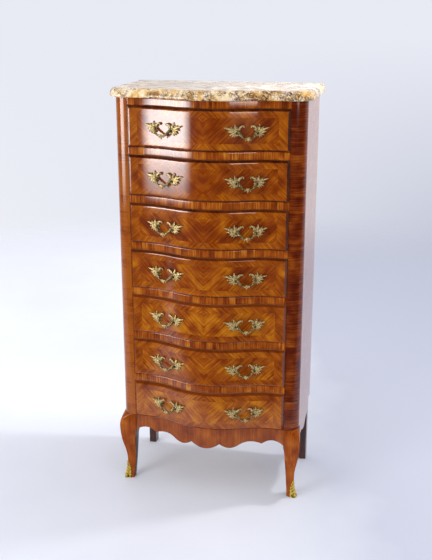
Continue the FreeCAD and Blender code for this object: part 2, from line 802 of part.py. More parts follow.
def make_drawer(number):
    """The pieces of one drawer, by node."""
    floor = drawer_floor(number)
    name = "drawer_" + str(number) + "_"
    z0 = floor + running_gap
    z1 = floor + opening_height - side_top_gap
    z_pull = floor + opening_height / 2 - pull_drop

    bottom_z = z0 + bottom_height
    bottom = sawn_panel(inner_face - groove_depth, drawer_end, side_inner + groove_depth,
                        bottom_z, bottom_z + bottom_thickness)

    back_y1 = drawer_end - rear_board_setback
    rear = box(-side_inner - housing_depth, side_inner + housing_depth,
               back_y1 - rear_board_thickness, back_y1,
               bottom_z + bottom_thickness, z1 - rear_board_drop)

    tails = dovetails(z0, z1)
    side = box(side_inner, side_outer, inner_face, drawer_end, z0, z1).fuse(tails).removeSplitter()
    side = side.cut([bottom, rear])

    front = sawn_board(front_projection, inner_face, side_outer,
                       floor + front_gap, floor + opening_height - front_gap)
    face_rim = [e for e in front.Edges if on_face_rim(e)]
    front = front.makeChamfer(bevel_width, face_rim)
    front = front.cut([bottom] + tails + [mirrored(t) for t in tails])

    pull = make_pull(z_pull)
    return {
        name + "front": [front],
        name + "sides": [side, mirrored(side)],
        name + "back": [rear],
        name + "bottom": [bottom],
        name + "pulls": [pull, mirrored(pull)],
    }


def on_face_rim(edge):
    """Whether an edge of the plain drawer front runs round its outer face."""
    for vertex in edge.Vertexes:
        if abs(vertex.Y - front_height(vertex.X, front_projection)) > 0.01:
            return False
    middle = edge.CenterOfMass
    upright = abs(edge.Vertexes[0].Z - edge.Vertexes[-1].Z) > 0.01
    if upright:
        return abs(abs(middle.x) - side_outer) < 0.01
    return True


# ---- the whole piece -------------------------------------------------------------

def make_case():
    """The pieces that stand still, by node."""
    post = make_post()
    panel = make_side_panel()
    leg = make_front_leg()
    rear_leg = make_rear_leg()
    side_apron = make_side_apron()
    sabot = make_sabot()
    nodes = {
        "marble_top": [make_marble()],
        "top_board": [make_top_board()],
        "bottom_board": [make_bottom_board()],
        "back_panel": [make_back()],
        "front_apron": [make_front_apron()],
        "rear_apron": [make_rear_apron()],
        "sabots": [sabot, mirrored(sabot)],
        "drawer_runners": make_runners(),
    }
    for name, shape in (("side_panel", panel), ("front_post", post), ("front_leg", leg),
                        ("rear_leg", rear_leg), ("side_apron", side_apron)):
        nodes[name + "_right"] = [shape]
        nodes[name + "_left"] = [mirrored(shape)]
    for index, (z0, z1) in enumerate(rail_levels()):
        name = "top_rail" if index == 0 else "divider_rail_" + str(index)
        nodes[name] = [make_rail(z0, z1)]
    return nodes


def main():
    """Build every node and write it."""
    os.makedirs(parts_folder, exist_ok=True)
    nodes = make_case()
    for number in range(1, drawer_count + 1):
        nodes.update(make_drawer(number))
    for node, solids in nodes.items():
        save(node, solids)


main()
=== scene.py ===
"""Seven-drawer semainier: veneered carcass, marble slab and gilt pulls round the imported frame.

Metres throughout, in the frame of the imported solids: X to the right, -Y to the front, +Z up.
Each sub-assembly is a class that holds its sizes, builds its meshes with numpy and dresses
them; each finish is a small frozen class that builds one material from nodes.
"""
import json
import logging
import math
from collections.abc import Sequence
from dataclasses import dataclass
from enum import Enum

import bpy
import numpy as np
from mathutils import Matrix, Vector

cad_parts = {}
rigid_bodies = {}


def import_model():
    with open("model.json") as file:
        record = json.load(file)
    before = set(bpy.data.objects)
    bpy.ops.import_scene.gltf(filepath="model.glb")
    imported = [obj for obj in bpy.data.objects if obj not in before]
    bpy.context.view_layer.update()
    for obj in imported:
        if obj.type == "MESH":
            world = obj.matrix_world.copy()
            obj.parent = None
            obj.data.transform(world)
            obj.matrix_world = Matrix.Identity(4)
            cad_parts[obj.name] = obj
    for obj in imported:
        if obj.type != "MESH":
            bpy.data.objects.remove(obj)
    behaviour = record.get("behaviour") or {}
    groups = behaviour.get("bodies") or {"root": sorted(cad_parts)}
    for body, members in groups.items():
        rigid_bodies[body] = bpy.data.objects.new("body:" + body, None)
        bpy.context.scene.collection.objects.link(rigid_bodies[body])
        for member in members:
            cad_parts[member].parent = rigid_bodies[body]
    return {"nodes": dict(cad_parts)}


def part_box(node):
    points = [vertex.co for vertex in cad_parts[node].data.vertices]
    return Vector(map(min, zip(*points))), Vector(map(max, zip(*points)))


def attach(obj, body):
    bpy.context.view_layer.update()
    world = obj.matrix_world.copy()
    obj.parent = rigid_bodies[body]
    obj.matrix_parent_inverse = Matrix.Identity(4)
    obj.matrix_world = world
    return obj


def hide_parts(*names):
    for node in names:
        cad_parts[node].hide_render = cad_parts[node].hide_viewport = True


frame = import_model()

Array = np.ndarray
Colour = tuple[float, float, float, float]
Point = tuple[float, float, float]
Faces = list[Sequence[int]]
Tree = bpy.types.NodeTree
Socket = bpy.types.NodeSocket
Material = bpy.types.Material

LOG = logging.getLogger("semainier")
MM = 0.001
SIDES: dict[str, float] = {"right": 1.0, "left": -1.0}
SMOOTHLY: dict[str, object] = {"interpolation_type": "SMOOTHSTEP"}
IN_COLOUR: dict[str, object] = {"out": 2, "data_type": "RGBA"}
DRAWERS = range(1, 1 + sum(node.endswith("_front") for node in frame["nodes"]))


# ---- nodes and meshes ----


def linear(hex_code: str) -> Colour:
    """Turn an sRGB hex value into a linear colour.

    Args:
        hex_code: six hex digits, red first.

    Returns:
        Linear red, green and blue, and an alpha of one.
    """
    shares = [int(hex_code[i:i + 2], 16) / 255 for i in (0, 2, 4)]
    r, g, b = (s / 12.92 if s <= 0.04045 else ((s + 0.055) / 1.055) ** 2.4 for s in shares)
    return r, g, b, 1.0


def add_node(
    tree: Tree,
    kind: str,
    inputs: dict[int | str, object] | None = None,
    out: int | str | None = 0,
    stops: Sequence[tuple[float, str]] = (),
    **settings: object,
) -> Socket | None:
    """Add one node with its settings, values and links.

    Args:
        tree: node tree that gets the node.
        kind: Blender's name for the node, without its leading ShaderNode.
        inputs: value or source socket for each input, by index or name.
        out: index or name of the output that is wanted.
        stops: places and hex colours of a colour ramp.
        **settings: properties of the node.

    Returns:
        The wanted output socket, or nothing for a node that ends the tree.
    """
    node = tree.nodes.new("ShaderNode" + kind)
    for name, value in settings.items():
        setattr(node, name, value)
    for key, value in (inputs or {}).items():
        if isinstance(value, Socket):
            tree.links.new(value, node.inputs[key])
        else:
            node.inputs[key].default_value = value
    if stops:
        elements = node.color_ramp.elements
        while len(elements) < len(stops):
            elements.new(0.5)
        for element, (place, hex_code) in zip(elements, stops):
            element.position = place
            element.color = linear(hex_code)
    return None if out is None else node.outputs[out]


def new_material(name: str) -> tuple[Material, Tree]:
    """Make an empty node material.

    Args:
        name: name of the material.

    Returns:
        The material and its node tree.
    """
    material = bpy.data.materials.new(name)
    material.use_nodes = True
    material.node_tree.nodes.clear()
    return material, material.node_tree


def mesh_piece(
    name: str,
    points: Array,
    faces: Faces,
    uv: Array | None = None,
    sharp_deg: float = 35.0,
    attributes: dict[str, Array] | None = None,
) -> bpy.types.Object:
    """Make an object at the origin from points and faces, shaded smooth between sharp edges.

    Args:
        name: name of the object.
        points: rows of x, y, z in metres.
        faces: corner numbers of each face, turned so that it points outwards.
        uv: one u, v pair for each point.
        sharp_deg: edges that turn by more than this stay sharp.
        attributes: one number for each point, by attribute name.

    Returns:
        The new object, linked to the scene.
    """
    mesh = bpy.data.meshes.new(name)
    mesh.from_pydata(points.tolist(), [], [list(map(int, f)) for f in faces])
    mesh.validate(verbose=False)
    if uv is not None:
        corners = np.zeros(len(mesh.loops), np.int32)
        mesh.loops.foreach_get("vertex_index", corners)
        layer = mesh.uv_layers.new(name="veneer")
        layer.data.foreach_set("uv", uv[corners].astype(np.float32).ravel())
    for key, values in (attributes or {}).items():
        mesh.attributes.new(key, "FLOAT", "POINT").data.foreach_set("value", values.astype(np.float32))
    mesh.shade_smooth()
    mesh.set_sharp_from_angle(angle=math.radians(sharp_deg))
    thing = bpy.data.objects.new(name, mesh)
    bpy.context.scene.collection.objects.link(thing)
    return thing


def closed_tube(rings: Array) -> tuple[Array, Faces]:
    """Skin a row of closed rings and cap both ends.

    The points are numbered ring by ring. Point j of ring i joins its neighbour j + 1, the
    last one the first, and both join the same two points of ring i + 1.

    Args:
        rings: array of rings by points by 3, each ring turned the same way.

    Returns:
        Points and faces of the closed shape.
    """
    count, size = rings.shape[:2]
    i, j = np.meshgrid(np.arange(count - 1) * size, np.arange(size), indexing="ij")
    k = (j + 1) % size
    faces = np.stack([i + j, i + k, i + size + k, i + size + j], -1).reshape(-1, 4).tolist()
    faces.append(list(range(size - 1, -1, -1)))
    faces.append(list(range((count - 1) * size, count * size)))
    return rings.reshape(-1, 3), faces


@dataclass(frozen=True)
class Skin:
    """Closed shape with the share of a crest at each point: one on high ridges, none in hollows."""

    points: Array
    faces: Faces
    crest: Array

    @classmethod
    def from_rings(cls, rings: Array, crest: Array) -> "Skin":
        """Skin rings whose points carry the given crest."""
        points, faces = closed_tube(rings)
        return cls(points, faces, np.broadcast_to(crest, rings.shape[:2]).ravel())


def join_skins(name: str, skins: Sequence[Skin], sharp_deg: float) -> bpy.types.Object:
    """Make one object of several closed shapes, each turned to point outwards.

    Args:
        name: name of the object.
        skins: closed shapes, which may run into each other.
        sharp_deg: edges that turn by more than this stay sharp.

    Returns:
        The new object, with a point attribute called crest.
    """
    starts = np.cumsum([0] + [len(skin.points) for skin in skins]).tolist()
    faces = [
        [corner + start for corner in face]
        for skin, start in zip(skins, starts)
        for face in outwards(skin.points, skin.faces)
    ]
    points = np.concatenate([skin.points for skin in skins])
    crest = np.concatenate([skin.crest for skin in skins])
    return mesh_piece(name, points, faces, None, sharp_deg, {"crest": crest})


def outwards(points: Array, faces: Faces) -> Faces:
    """Turn all faces round if the shape they enclose comes out with a negative volume.

    The volume is the sum, over every face cut into a fan of triangles, of a sixth of the
    triple product of the triangle's corners.

    Args:
        points: rows of x, y, z.
        faces: corner numbers of each face of a closed shape.

    Returns:
        The same faces, pointing outwards.
    """
    fans = np.array([(f[0], f[i], f[i + 1]) for f in faces for i in range(1, len(f) - 1)])
    a, b, c = points[fans[:, 0]], points[fans[:, 1]], points[fans[:, 2]]
    volume = np.einsum("ij,ij->i", a, np.cross(b, c)).sum() / 6
    return faces if volume > 0 else [f[::-1] for f in faces]


def smooth_step(value: Array, low: float, high: float) -> Array:
    """Rise from 0 at low to 1 at high along 3t^2 - 2t^3."""
    t = np.clip((value - low) / (high - low), 0, 1)
    return t * t * (3 - 2 * t)


def settle(
    thing: bpy.types.Object,
    body: str,
    slot: str,
    material: Material | Sequence[Material],
    *nodes: str,
) -> bpy.types.Object:
    """Give a piece its materials and its body, and hide the solids that it stands for.

    Args:
        thing: finished piece at the origin.
        body: name of the body that carries it.
        slot: material slot of the record; not used.
        material: material of the whole piece, or one for each material number of its faces.
        *nodes: CAD nodes that the piece replaces.

    Returns:
        The same piece.
    """
    for each in [material] if isinstance(material, Material) else material:
        thing.data.materials.append(each)
    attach(thing, body)
    if nodes:
        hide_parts(*nodes)
    LOG.info("%s: %d faces on %s", thing.name, len(thing.data.polygons), body)
    return thing


# ---- the bowed front in plan ----


@dataclass(frozen=True)
class CasePlaces:
    """Planes of the case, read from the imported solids."""

    opening_half: float
    case_half: float
    front_plane: float
    post_back: float
    base_top: float
    case_top: float
    bow_depth: float

    @classmethod
    def from_frame(cls) -> "CasePlaces":
        """Read the planes from the right post and the top rail.

        Returns:
            The planes, in metres.
        """
        low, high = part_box("front_post_right")
        rail_low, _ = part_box("top_rail")
        return cls(low.x, high.x, low.y, high.y, low.z, high.z, low.y - rail_low.y)


@dataclass(frozen=True)
class BowLine:
    """Plan line of the front: flat, hollow, swelling, hollow, flat, all in tangent arcs."""

    front_plane: float
    depth: float
    half_width: float
    swelling_share: float = 0.5

    @property
    def sweep(self) -> float:
        """Angle through which the line turns between the flat and the swelling."""
        return 2 * math.atan(self.depth / self.half_width)

    @property
    def radii(self) -> tuple[float, float]:
        """Radii of the swelling and of each hollow flank."""
        both = self.half_width / math.sin(self.sweep)
        return both * self.swelling_share, both * (1 - self.swelling_share)

    def at_arc(self, arc: Array, offset: Array | float) -> Array:
        """Places on the line, moved outwards by an offset.

        The line is followed by its own length from the middle. On the swelling the angle
        is length over radius; on a flank it falls from the sweep back to nothing; beyond
        that the line runs straight. The normal at an angle a is (sin a, -cos a).

        Args:
            arc: signed length along the line from the middle plane.
            offset: distance outwards from the line.

        Returns:
            The x and y of each place, in a last axis of two.
        """
        arc = np.asarray(arc, float)
        swell, hollow = self.radii
        length, side = np.abs(arc), np.sign(arc)
        first = swell * self.sweep
        angle = np.where(length <= first, length / swell, self.sweep - (length - first) / hollow)
        angle = np.maximum(angle, 0)
        last = first + hollow * self.sweep
        crown = self.front_plane - self.depth
        on_swell = np.stack([swell * np.sin(angle), crown + swell * (1 - np.cos(angle))], -1)
        on_flank = np.stack([self.half_width - hollow * np.sin(angle),
                             self.front_plane - hollow * (1 - np.cos(angle))], -1)
        flat = np.stack([self.half_width + (length - last), np.full_like(length, self.front_plane)], -1)
        place = np.where((length <= first)[..., None], on_swell,
                         np.where((length <= last)[..., None], on_flank, flat))
        normal = np.stack([np.sin(angle), -np.cos(angle)], -1)
        place = place + normal * np.asarray(offset)[..., None]
        return place * np.stack([np.where(side < 0, -1.0, 1.0), np.ones_like(length)], -1)

    def arc_of(self, x: float) -> float:
        """Length along the line from the middle to a place across it.

        On each arc the length is the radius times the angle, and the sine of the angle is the
        run across over the radius.

        Args:
            x: place across the front, negative on the left.

        Returns:
            Signed length along the line.
        """
        swell, hollow = self.radii
        x, side = abs(x), math.copysign(1.0, x)
        if x <= swell * math.sin(self.sweep):
            return side * swell * math.asin(x / swell)
        if x <= self.half_width:
            angle = math.asin((self.half_width - x) / hollow)
            return side * (swell * self.sweep + hollow * (self.sweep - angle))
        return side * ((swell + hollow) * self.sweep + x - self.half_width)


FLAT_WIDTH = 31 * MM  # flat stretch between the bow and either post
FRONT_PROJECTION = 10 * MM  # face of a drawer ahead of the rails
PLACES = CasePlaces.from_frame()
BOW = BowLine(PLACES.front_plane, PLACES.bow_depth, PLACES.opening_half - FLAT_WIDTH)


def ease_stations(length: float, edge: float, fine: int, coarse: int) -> Array:
    """Places from 0 to a length, close together near both ends.

    Near an end the distance from it is edge * (1 - cos(a)) for even steps of a quarter turn.

    Args:
        length: the whole length.
        edge: stretch at either end that is stepped closely.
        fine: number of places on such a stretch.
        coarse: number of places between the two stretches, their ends counted.

    Returns:
        Rising places, both ends included.
    """
    near = edge * (1 - np.cos(np.linspace(0, math.pi / 2, fine)))
    middle = np.linspace(near[-1], length - near[-1], coarse)[1:-1]
    return np.concatenate([near, middle, (length - near)[::-1]])


@dataclass(frozen=True)
class SawnCuts:
    """Straight cuts behind a bowed board: from two shoulders forward to a flat middle."""

    shoulder: float = 184 * MM
    middle: float = 60 * MM
    depth: float = 41 * MM


@dataclass(frozen=True)
class BowedBoard:
    """Closed board with a bowed, bevelled face and an inner face that may be sawn in cuts."""

    name: str
    half_width: float
    low: float
    high: float
    back: float
    projection: float = 0.0
    bevel: float = 0.5 * MM
    bevel_depth: float = 0.5 * MM
    softness: float = 0.5 * MM
    end_gap: float = 0.0
    cuts: SawnCuts | None = None
    sheet: float = 0.0  # number of the veneer sheet, which shifts its figure
    lighter: float = 0.0  # tone by which its veneer is lighter
    two_woods: bool = False  # whether all but the face is of a second wood
    stations: int = 90
    edge_stations: int = 9
    edge_share: float = 1.6  # closely stepped edge, in widths of the bevel
    least_edge: float = 2 * MM
    sharp_deg: float = 25.0

    def face_setback(self, from_end: Array, from_edge: Array) -> Array:
        """Depth of the bevel at a place of the face.

        It is the larger of the two runs depth * (1 - distance / width), each rounded where it
        reaches zero by (d + sqrt(d^2 + s^2)) / 2, so the mitres come out at the corners.

        Args:
            from_end: distance from the nearer end.
            from_edge: distance from the nearer long edge.

        Returns:
            Distance by which the face stands back.
        """
        def run(distance: Array) -> Array:
            """Depth that belongs to one distance."""
            depth = self.bevel_depth * (1 - distance / self.bevel)
            return (depth + np.sqrt(depth ** 2 + self.softness ** 2)) / 2

        return np.minimum(np.maximum(run(from_end), run(from_edge)), self.bevel_depth + self.softness / 2)

    def back_line(self, x: Array) -> Array:
        """Y of the inner face: straight, or stepping forward between the sawn shoulders.

        Args:
            x: places across the board.

        Returns:
            Y at each place.
        """
        if self.cuts is None:
            return np.full_like(x, self.back)
        slope = self.cuts.shoulder - self.cuts.middle
        return self.back - self.cuts.depth * np.clip((self.cuts.shoulder - np.abs(x)) / slope, 0, 1)

    def places_along(self, total: float, edge: float, low_edge: Array | None) -> Array:
        """Places of the rings along the bow, with one at each point of a scalloped edge.

        Args:
            total: length along the bow from the middle to either end.
            edge: stretch at either end that is stepped closely.
            low_edge: x and z rows of a scalloped lower edge, where the board has one.

        Returns:
            Rising signed lengths along the bow.
        """
        along = ease_stations(2 * total, edge, self.edge_stations, self.stations) - total
        if low_edge is None:
            return along
        scallops = np.array([BOW.arc_of(float(x)) for x in low_edge[0]])
        return np.unique(np.round(np.concatenate([along, scallops[np.abs(scallops) < total]]), 6))

    def build(self, low_edge: Array | None = None) -> bpy.types.Object:
        """Build the board as a row of upright rings from left to right.

        Each ring runs up the face and closes over two points of the inner face.

        Args:
            low_edge: x and z rows of a scalloped lower edge, where the board has one.

        Returns:
            The finished mesh object.
        """
        total = BOW.arc_of(self.half_width - self.end_gap)
        edge = max(self.bevel * self.edge_share, self.least_edge)
        along = self.places_along(total, edge, low_edge)
        height = self.high - self.low
        up = ease_stations(height, edge, self.edge_stations, self.edge_stations)
        from_end = np.minimum(along + total, total - along)[:, None]
        from_edge = np.minimum(up, height - up)[None, :]
        offset = self.projection - self.face_setback(from_end, from_edge)
        arc = np.repeat(along[:, None], len(up), 1)
        place = BOW.at_arc(arc, offset)
        low = np.full(len(along), self.low)
        if low_edge is not None:
            low = np.interp(BOW.at_arc(along, 0.0)[:, 0], low_edge[0], low_edge[1])
        z = low[:, None] + up[None, :] / height * (self.high - low)[:, None]
        face = np.concatenate([place, z[..., None]], -1)
        x = face[:, :1, 0]
        rear_y = self.back_line(x)
        rear_top = np.stack([x, rear_y, np.full_like(x, self.high)], -1)
        rear_low = np.stack([x, rear_y, low[:, None]], -1)
        points, faces = closed_tube(np.concatenate([face, rear_top, rear_low], 1))
        run = np.concatenate([arc, arc[:, :2]], 1)
        rise = np.concatenate([z, rear_top[..., 2], rear_low[..., 2]], 1) - self.low
        lip = np.concatenate([z - low[:, None], np.ones_like(x), np.zeros_like(x)], 1)
        uv = np.stack([run, rise], -1).reshape(-1, 2)
        thing = mesh_piece(self.name, points, outwards(points, faces), uv, self.sharp_deg, {
            "above_lip": lip.ravel(),
            "sheet": np.full(len(points), self.sheet),
            "lighter": np.full(len(points), self.lighter),
        })
        if self.two_woods:
            # Each ring gives len(up) + 2 faces, of which the last three lie off the face; the
            # two ends come last of all.
            column = np.tile(np.arange(len(up) + 2), len(along) - 1)
            second = np.concatenate([column >= len(up) - 1, [True, True]]).astype(np.int32)
            thing.data.polygons.foreach_set("material_index", second)
        return thing


# ---- finishes ----


Tones = tuple[str, str, str, str]
TONE_PLACES = (0.30, 0.46, 0.58, 0.74)  # of four tones, dark to light, about the mean of 0.5
JOINT = 0.5 * MM  # width over which one veneer gives way to the next


class Laying(Enum):
    """Ways in which veneer is laid, named for the run of its grain."""

    QUARTERED = "mirrored diagonals inside a diagonal border"
    UPRIGHT = "short upright blocks along a rail"
    LEVEL = "level across a post"


class Axis(Enum):
    """Axis along which the grain of a solid board runs."""

    X = 0
    Y = 1
    Z = 2

    def sizes(self, along: float, across: float) -> list[float]:
        """Three sizes, one along the grain and the others across it."""
        return [along if number == self.value else across for number in range(3)]


@dataclass(frozen=True)
class GrainLayer:
    """Stripes along the grain: how much finer than the bands, how strong, and cut from where."""

    finer: float
    weight: float
    shift: Point = (0.0, 0.0, 0.0)
    detail: float = 2.0
    roughness: float = 0.6
    distortion: float = 0.0


BANDS = GrainLayer(1.0, 1.05, distortion=0.12)
LINES = GrainLayer(4.5, 0.50, (7.3, 1.9, 4.1), roughness=0.7)
FLECKS = GrainLayer(9.0, 0.35, (1.7, 6.2, 2.9), detail=1.0, roughness=0.5)
GRAIN_LAYERS = (BANDS, LINES, FLECKS)
CLOUD_SIZE = 41.66667 * MM  # one slow change of tone
HANDLED_SIZE = 26.3158 * MM  # one patch of polish dulled by hands


def grain_tone(
    tree: Tree,
    place: Socket,
    stretch: Sequence[float],
    contrast: float = 1.0,
    clouds: float = 0.5,
) -> Socket:
    """Tone of striped wood about 0.5: bands, lines and flecks along the grain, and a slow change.

    The tone is 0.5 and the sum, over the layers, of the noise less its mean, times the
    layer's weight and the contrast; the slow change counts in the same way by the clouds.

    Args:
        tree: node tree of the material.
        place: place in metres, in the axes of the stretch.
        stretch: length of one change of tone along each axis, in metres.
        contrast: strength of the stripes.
        clouds: strength of the slow change.

    Returns:
        Socket with the tone.
    """
    tone: Socket | float = 0.5 - (contrast * sum(layer.weight for layer in GRAIN_LAYERS) + clouds) / 2
    for layer in GRAIN_LAYERS:
        at = add_node(tree, "Mapping", {"Vector": place, "Location": layer.shift,
                                        "Scale": [layer.finer / size for size in stretch]})
        stripes = add_node(tree, "TexNoise", {"Vector": at, "Scale": 1.0, "Detail": layer.detail,
                                              "Roughness": layer.roughness, "Distortion": layer.distortion})
        tone = add_node(tree, "Math", {0: stripes, 1: layer.weight * contrast, 2: tone},
                        operation="MULTIPLY_ADD")
    slow_at = add_node(tree, "Mapping", {"Vector": place, "Location": (3.1, 8.2, 0.4),
                                         "Scale": [1 / CLOUD_SIZE] * 3})
    slow = add_node(tree, "TexNoise", {"Vector": slow_at, "Scale": 1.0, "Detail": 1.5})
    return add_node(tree, "Math", {0: slow, 1: clouds, 2: tone}, operation="MULTIPLY_ADD")


def tone_stops(tones: Sequence[str]) -> list[tuple[float, str]]:
    """Stops of a ramp for the four tones of a wood."""
    return list(zip(TONE_PLACES, tones))


def polished(
    tree: Tree,
    colour: Socket,
    bump_from: Socket,
    depth: float,
    roughness: float,
    coat: float,
    polish: float = 1.0,
) -> Socket:
    """Wood under shellac: a softly glossy body under a clear, level coat.

    Args:
        tree: node tree of the material.
        colour: colour of the wood.
        bump_from: tone that stands slightly proud where it is light.
        depth: height of that relief in metres.
        roughness: mean roughness of the body, which hands have dulled in patches.
        coat: roughness of the coat.
        polish: share of the surface that still carries the coat.

    Returns:
        Shader socket.
    """
    bump = add_node(tree, "Bump", {"Height": bump_from, "Distance": depth, "Strength": 0.5})
    place = add_node(tree, "TexCoord", out="Object")
    handled = add_node(tree, "TexNoise", {"Vector": place, "Scale": 1 / HANDLED_SIZE, "Detail": 3.0})
    rough = add_node(tree, "MapRange", {0: handled, 1: 0.3, 2: 0.7, 3: roughness * 0.75, 4: roughness * 1.35})
    return add_node(tree, "BsdfPrincipled", {
        "Base Color": colour, "Roughness": rough, "Normal": bump, "IOR": 1.5, "Specular IOR Level": 0.05,
        "Coat Weight": polish, "Coat Roughness": coat, "Coat IOR": 1.52})


@dataclass(frozen=True)
class PolishedVeneer:
    """Knife-cut kingwood veneer under French polish.

    The eye gets bands of darker and lighter red-brown along the grain, a sharp change of
    direction at every joint, and the deep, clear gloss of shellac over them.
    """

    name: str
    laying: Laying
    tones: Tones
    band: float = 7 * MM
    length: float = 160 * MM
    block: float = 19 * MM
    contrast: float = 0.75
    step: float = 0.22  # range of tone from block to block
    sheet_change: float = 0.3  # how far apart in number two sheets are unlike each other
    shadow: float = 0.0  # height of the painted shade along the lower edge
    lower_edge_shade: str = "2A0C04"
    relief: float = 0.15 * MM
    roughness: float = 0.30
    coat: float = 0.085
    polish: float = 1.0

    def blocks(self, tree: Tree, run: Socket, rise: Socket) -> Socket:
        """Tone of blocks of about one width side by side, each cut from another place.

        Args:
            tree: node tree of the material.
            run: place along the row of blocks, across their grain.
            rise: place along their grain.

        Returns:
            Socket with the tone.
        """
        sheet = add_node(tree, "Attribute", attribute_name="sheet", out="Fac")
        scaled = add_node(tree, "Math", {0: run, 1: 1 / self.block, 2: sheet}, operation="MULTIPLY_ADD")
        cell = add_node(tree, "TexVoronoi", {"W": scaled, "Scale": 1.0, "Randomness": 0.8}, out="Color",
                        voronoi_dimensions="1D")
        shift = add_node(tree, "SeparateColor", {0: cell})
        deep = add_node(tree, "Math", {0: shift, 1: sheet}, operation="ADD")
        place = add_node(tree, "CombineXYZ", {0: run, 1: rise, 2: deep})
        tone = grain_tone(tree, place, (self.band, self.length, self.sheet_change), self.contrast)
        step = add_node(tree, "Math", {0: shift, 1: self.step, 2: -self.step / 2}, operation="MULTIPLY_ADD")
        lighter = add_node(tree, "Attribute", attribute_name="lighter", out="Fac")
        step = add_node(tree, "Math", {0: step, 1: lighter}, operation="ADD")
        return add_node(tree, "Math", {0: tone, 1: step}, operation="ADD")

    def build(self) -> Material:
        """Build the material for a piece with a veneer map in metres.

        Returns:
            The finished material.
        """
        material, tree = new_material(self.name)
        uv = add_node(tree, "UVMap", uv_map="veneer")
        split = add_node(tree, "SeparateXYZ", {0: uv}).node.outputs
        run, rise = split["X"], split["Y"]
        if self.laying is Laying.LEVEL:
            run, rise = rise, run
        tone = self.blocks(tree, run, rise)
        colour = add_node(tree, "ValToRGB", {0: tone}, stops=tone_stops(self.tones))
        # Painted shade along the lower edge: the colour darkens towards the edge over the shadow height.
        if self.shadow > 0:
            lip = add_node(tree, "Attribute", attribute_name="above_lip", out="Fac")
            dark = add_node(tree, "MapRange", {0: lip, 1: 0.0, 2: self.shadow, 3: 0.75, 4: 0.0}, **SMOOTHLY)
            colour = add_node(tree, "Mix", {0: dark, 6: colour, 7: linear(self.lower_edge_shade)}, **IN_COLOUR)
        wood = polished(tree, colour, tone, self.relief, self.roughness, self.coat, self.polish)
        add_node(tree, "OutputMaterial", {"Surface": wood}, out=None)
        return material


@dataclass(frozen=True)
class QuarteredFront(PolishedVeneer):
    """Drawer front: two mirrored diagonal sheets, a border laid the other way, a dark bevel.

    The eye gets a large V that points down in the middle of each drawer, a lighter border
    whose stripes run against it, and a nearly black-brown frame on the bevel: darker wood with painted shade.
    """

    half_run: float = 0.24
    height: float = 0.12
    side_border: float = 32 * MM
    level_border: float = 24 * MM
    bevel: float = 6.2 * MM
    sheet_change: float = 0.9
    border_tones: Tones = ("622200", "863C01", "A05404", "C27C0A")
    bevel_wood_and_shade_tones: tuple[str, str] = ("360C04", "7A340A")

    def diagonal(self, tree: Tree, place: Socket, degrees: float, cut_from: Point) -> Socket:
        """Tone of a sheet whose grain leans by an angle.

        Args:
            tree: node tree of the material.
            place: distance from the middle, rise and sheet number.
            degrees: lean of the grain from upright, towards the middle.
            cut_from: place in the flitch from which the sheet is cut.

        Returns:
            Socket with the tone.
        """
        at = add_node(tree, "Mapping", {"Vector": place, "Rotation": (0, 0, math.radians(degrees)),
                                        "Location": cut_from})
        return grain_tone(tree, at, (self.band, self.length, self.sheet_change), self.contrast)

    def build(self) -> Material:
        """Build the material for a drawer front with a veneer map in metres.

        Returns:
            The finished material.
        """
        material, tree = new_material(self.name)
        uv = add_node(tree, "UVMap", uv_map="veneer")
        split = add_node(tree, "SeparateXYZ", {0: uv}).node.outputs
        run = add_node(tree, "Math", {0: split["X"]}, operation="ABSOLUTE")
        rise = split["Y"]
        to_end = add_node(tree, "Math", {0: self.half_run, 1: run}, operation="SUBTRACT")
        to_top = add_node(tree, "Math", {0: self.height, 1: rise}, operation="SUBTRACT")
        to_edge = add_node(tree, "Math", {0: rise, 1: to_top}, operation="MINIMUM")

        # The run is counted from the middle to either side, which mirrors both sheets there.
        sheet = add_node(tree, "Attribute", attribute_name="sheet", out="Fac")
        lighter = add_node(tree, "Attribute", attribute_name="lighter", out="Fac")
        place = add_node(tree, "CombineXYZ", {0: run, 1: rise, 2: sheet})
        field = self.diagonal(tree, place, 45.0, (0.0, 0.0, 0.0))
        field = add_node(tree, "Math", {0: field, 1: lighter}, operation="ADD")
        border = self.diagonal(tree, place, -45.0, (0.7, 0.3, 5.0))
        side, level = self.side_border, self.level_border
        past_end = add_node(tree, "MapRange", {0: to_end, 1: side, 2: side + JOINT})
        past_edge = add_node(tree, "MapRange", {0: to_edge, 1: level, 2: level + JOINT})
        inside = add_node(tree, "Math", {0: past_end, 1: past_edge}, operation="MULTIPLY")
        inner = add_node(tree, "ValToRGB", {0: field}, stops=tone_stops(self.tones))
        outer = add_node(tree, "ValToRGB", {0: border}, stops=tone_stops(self.border_tones))
        wood = add_node(tree, "Mix", {0: inside, 6: outer, 7: inner}, **IN_COLOUR)

        # The bevel is drawn dark, darker wood with painted shade, the more so on the darker drawers.
        nearest = add_node(tree, "Math", {0: to_end, 1: to_edge}, operation="MINIMUM")
        flat = add_node(tree, "MapRange", {0: nearest, 1: self.bevel - 0.6 * MM, 2: self.bevel})
        turned = add_node(tree, "Math", {0: lighter, 1: 2.5, 2: border}, operation="MULTIPLY_ADD")
        dark = add_node(tree, "ValToRGB", {0: turned}, stops=list(zip((0.35, 0.75), self.bevel_wood_and_shade_tones)))
        colour = add_node(tree, "Mix", {0: flat, 6: dark, 7: wood}, **IN_COLOUR)
        wood = polished(tree, colour, field, self.relief, self.roughness, self.coat)
        add_node(tree, "OutputMaterial", {"Surface": wood}, out=None)
        return material


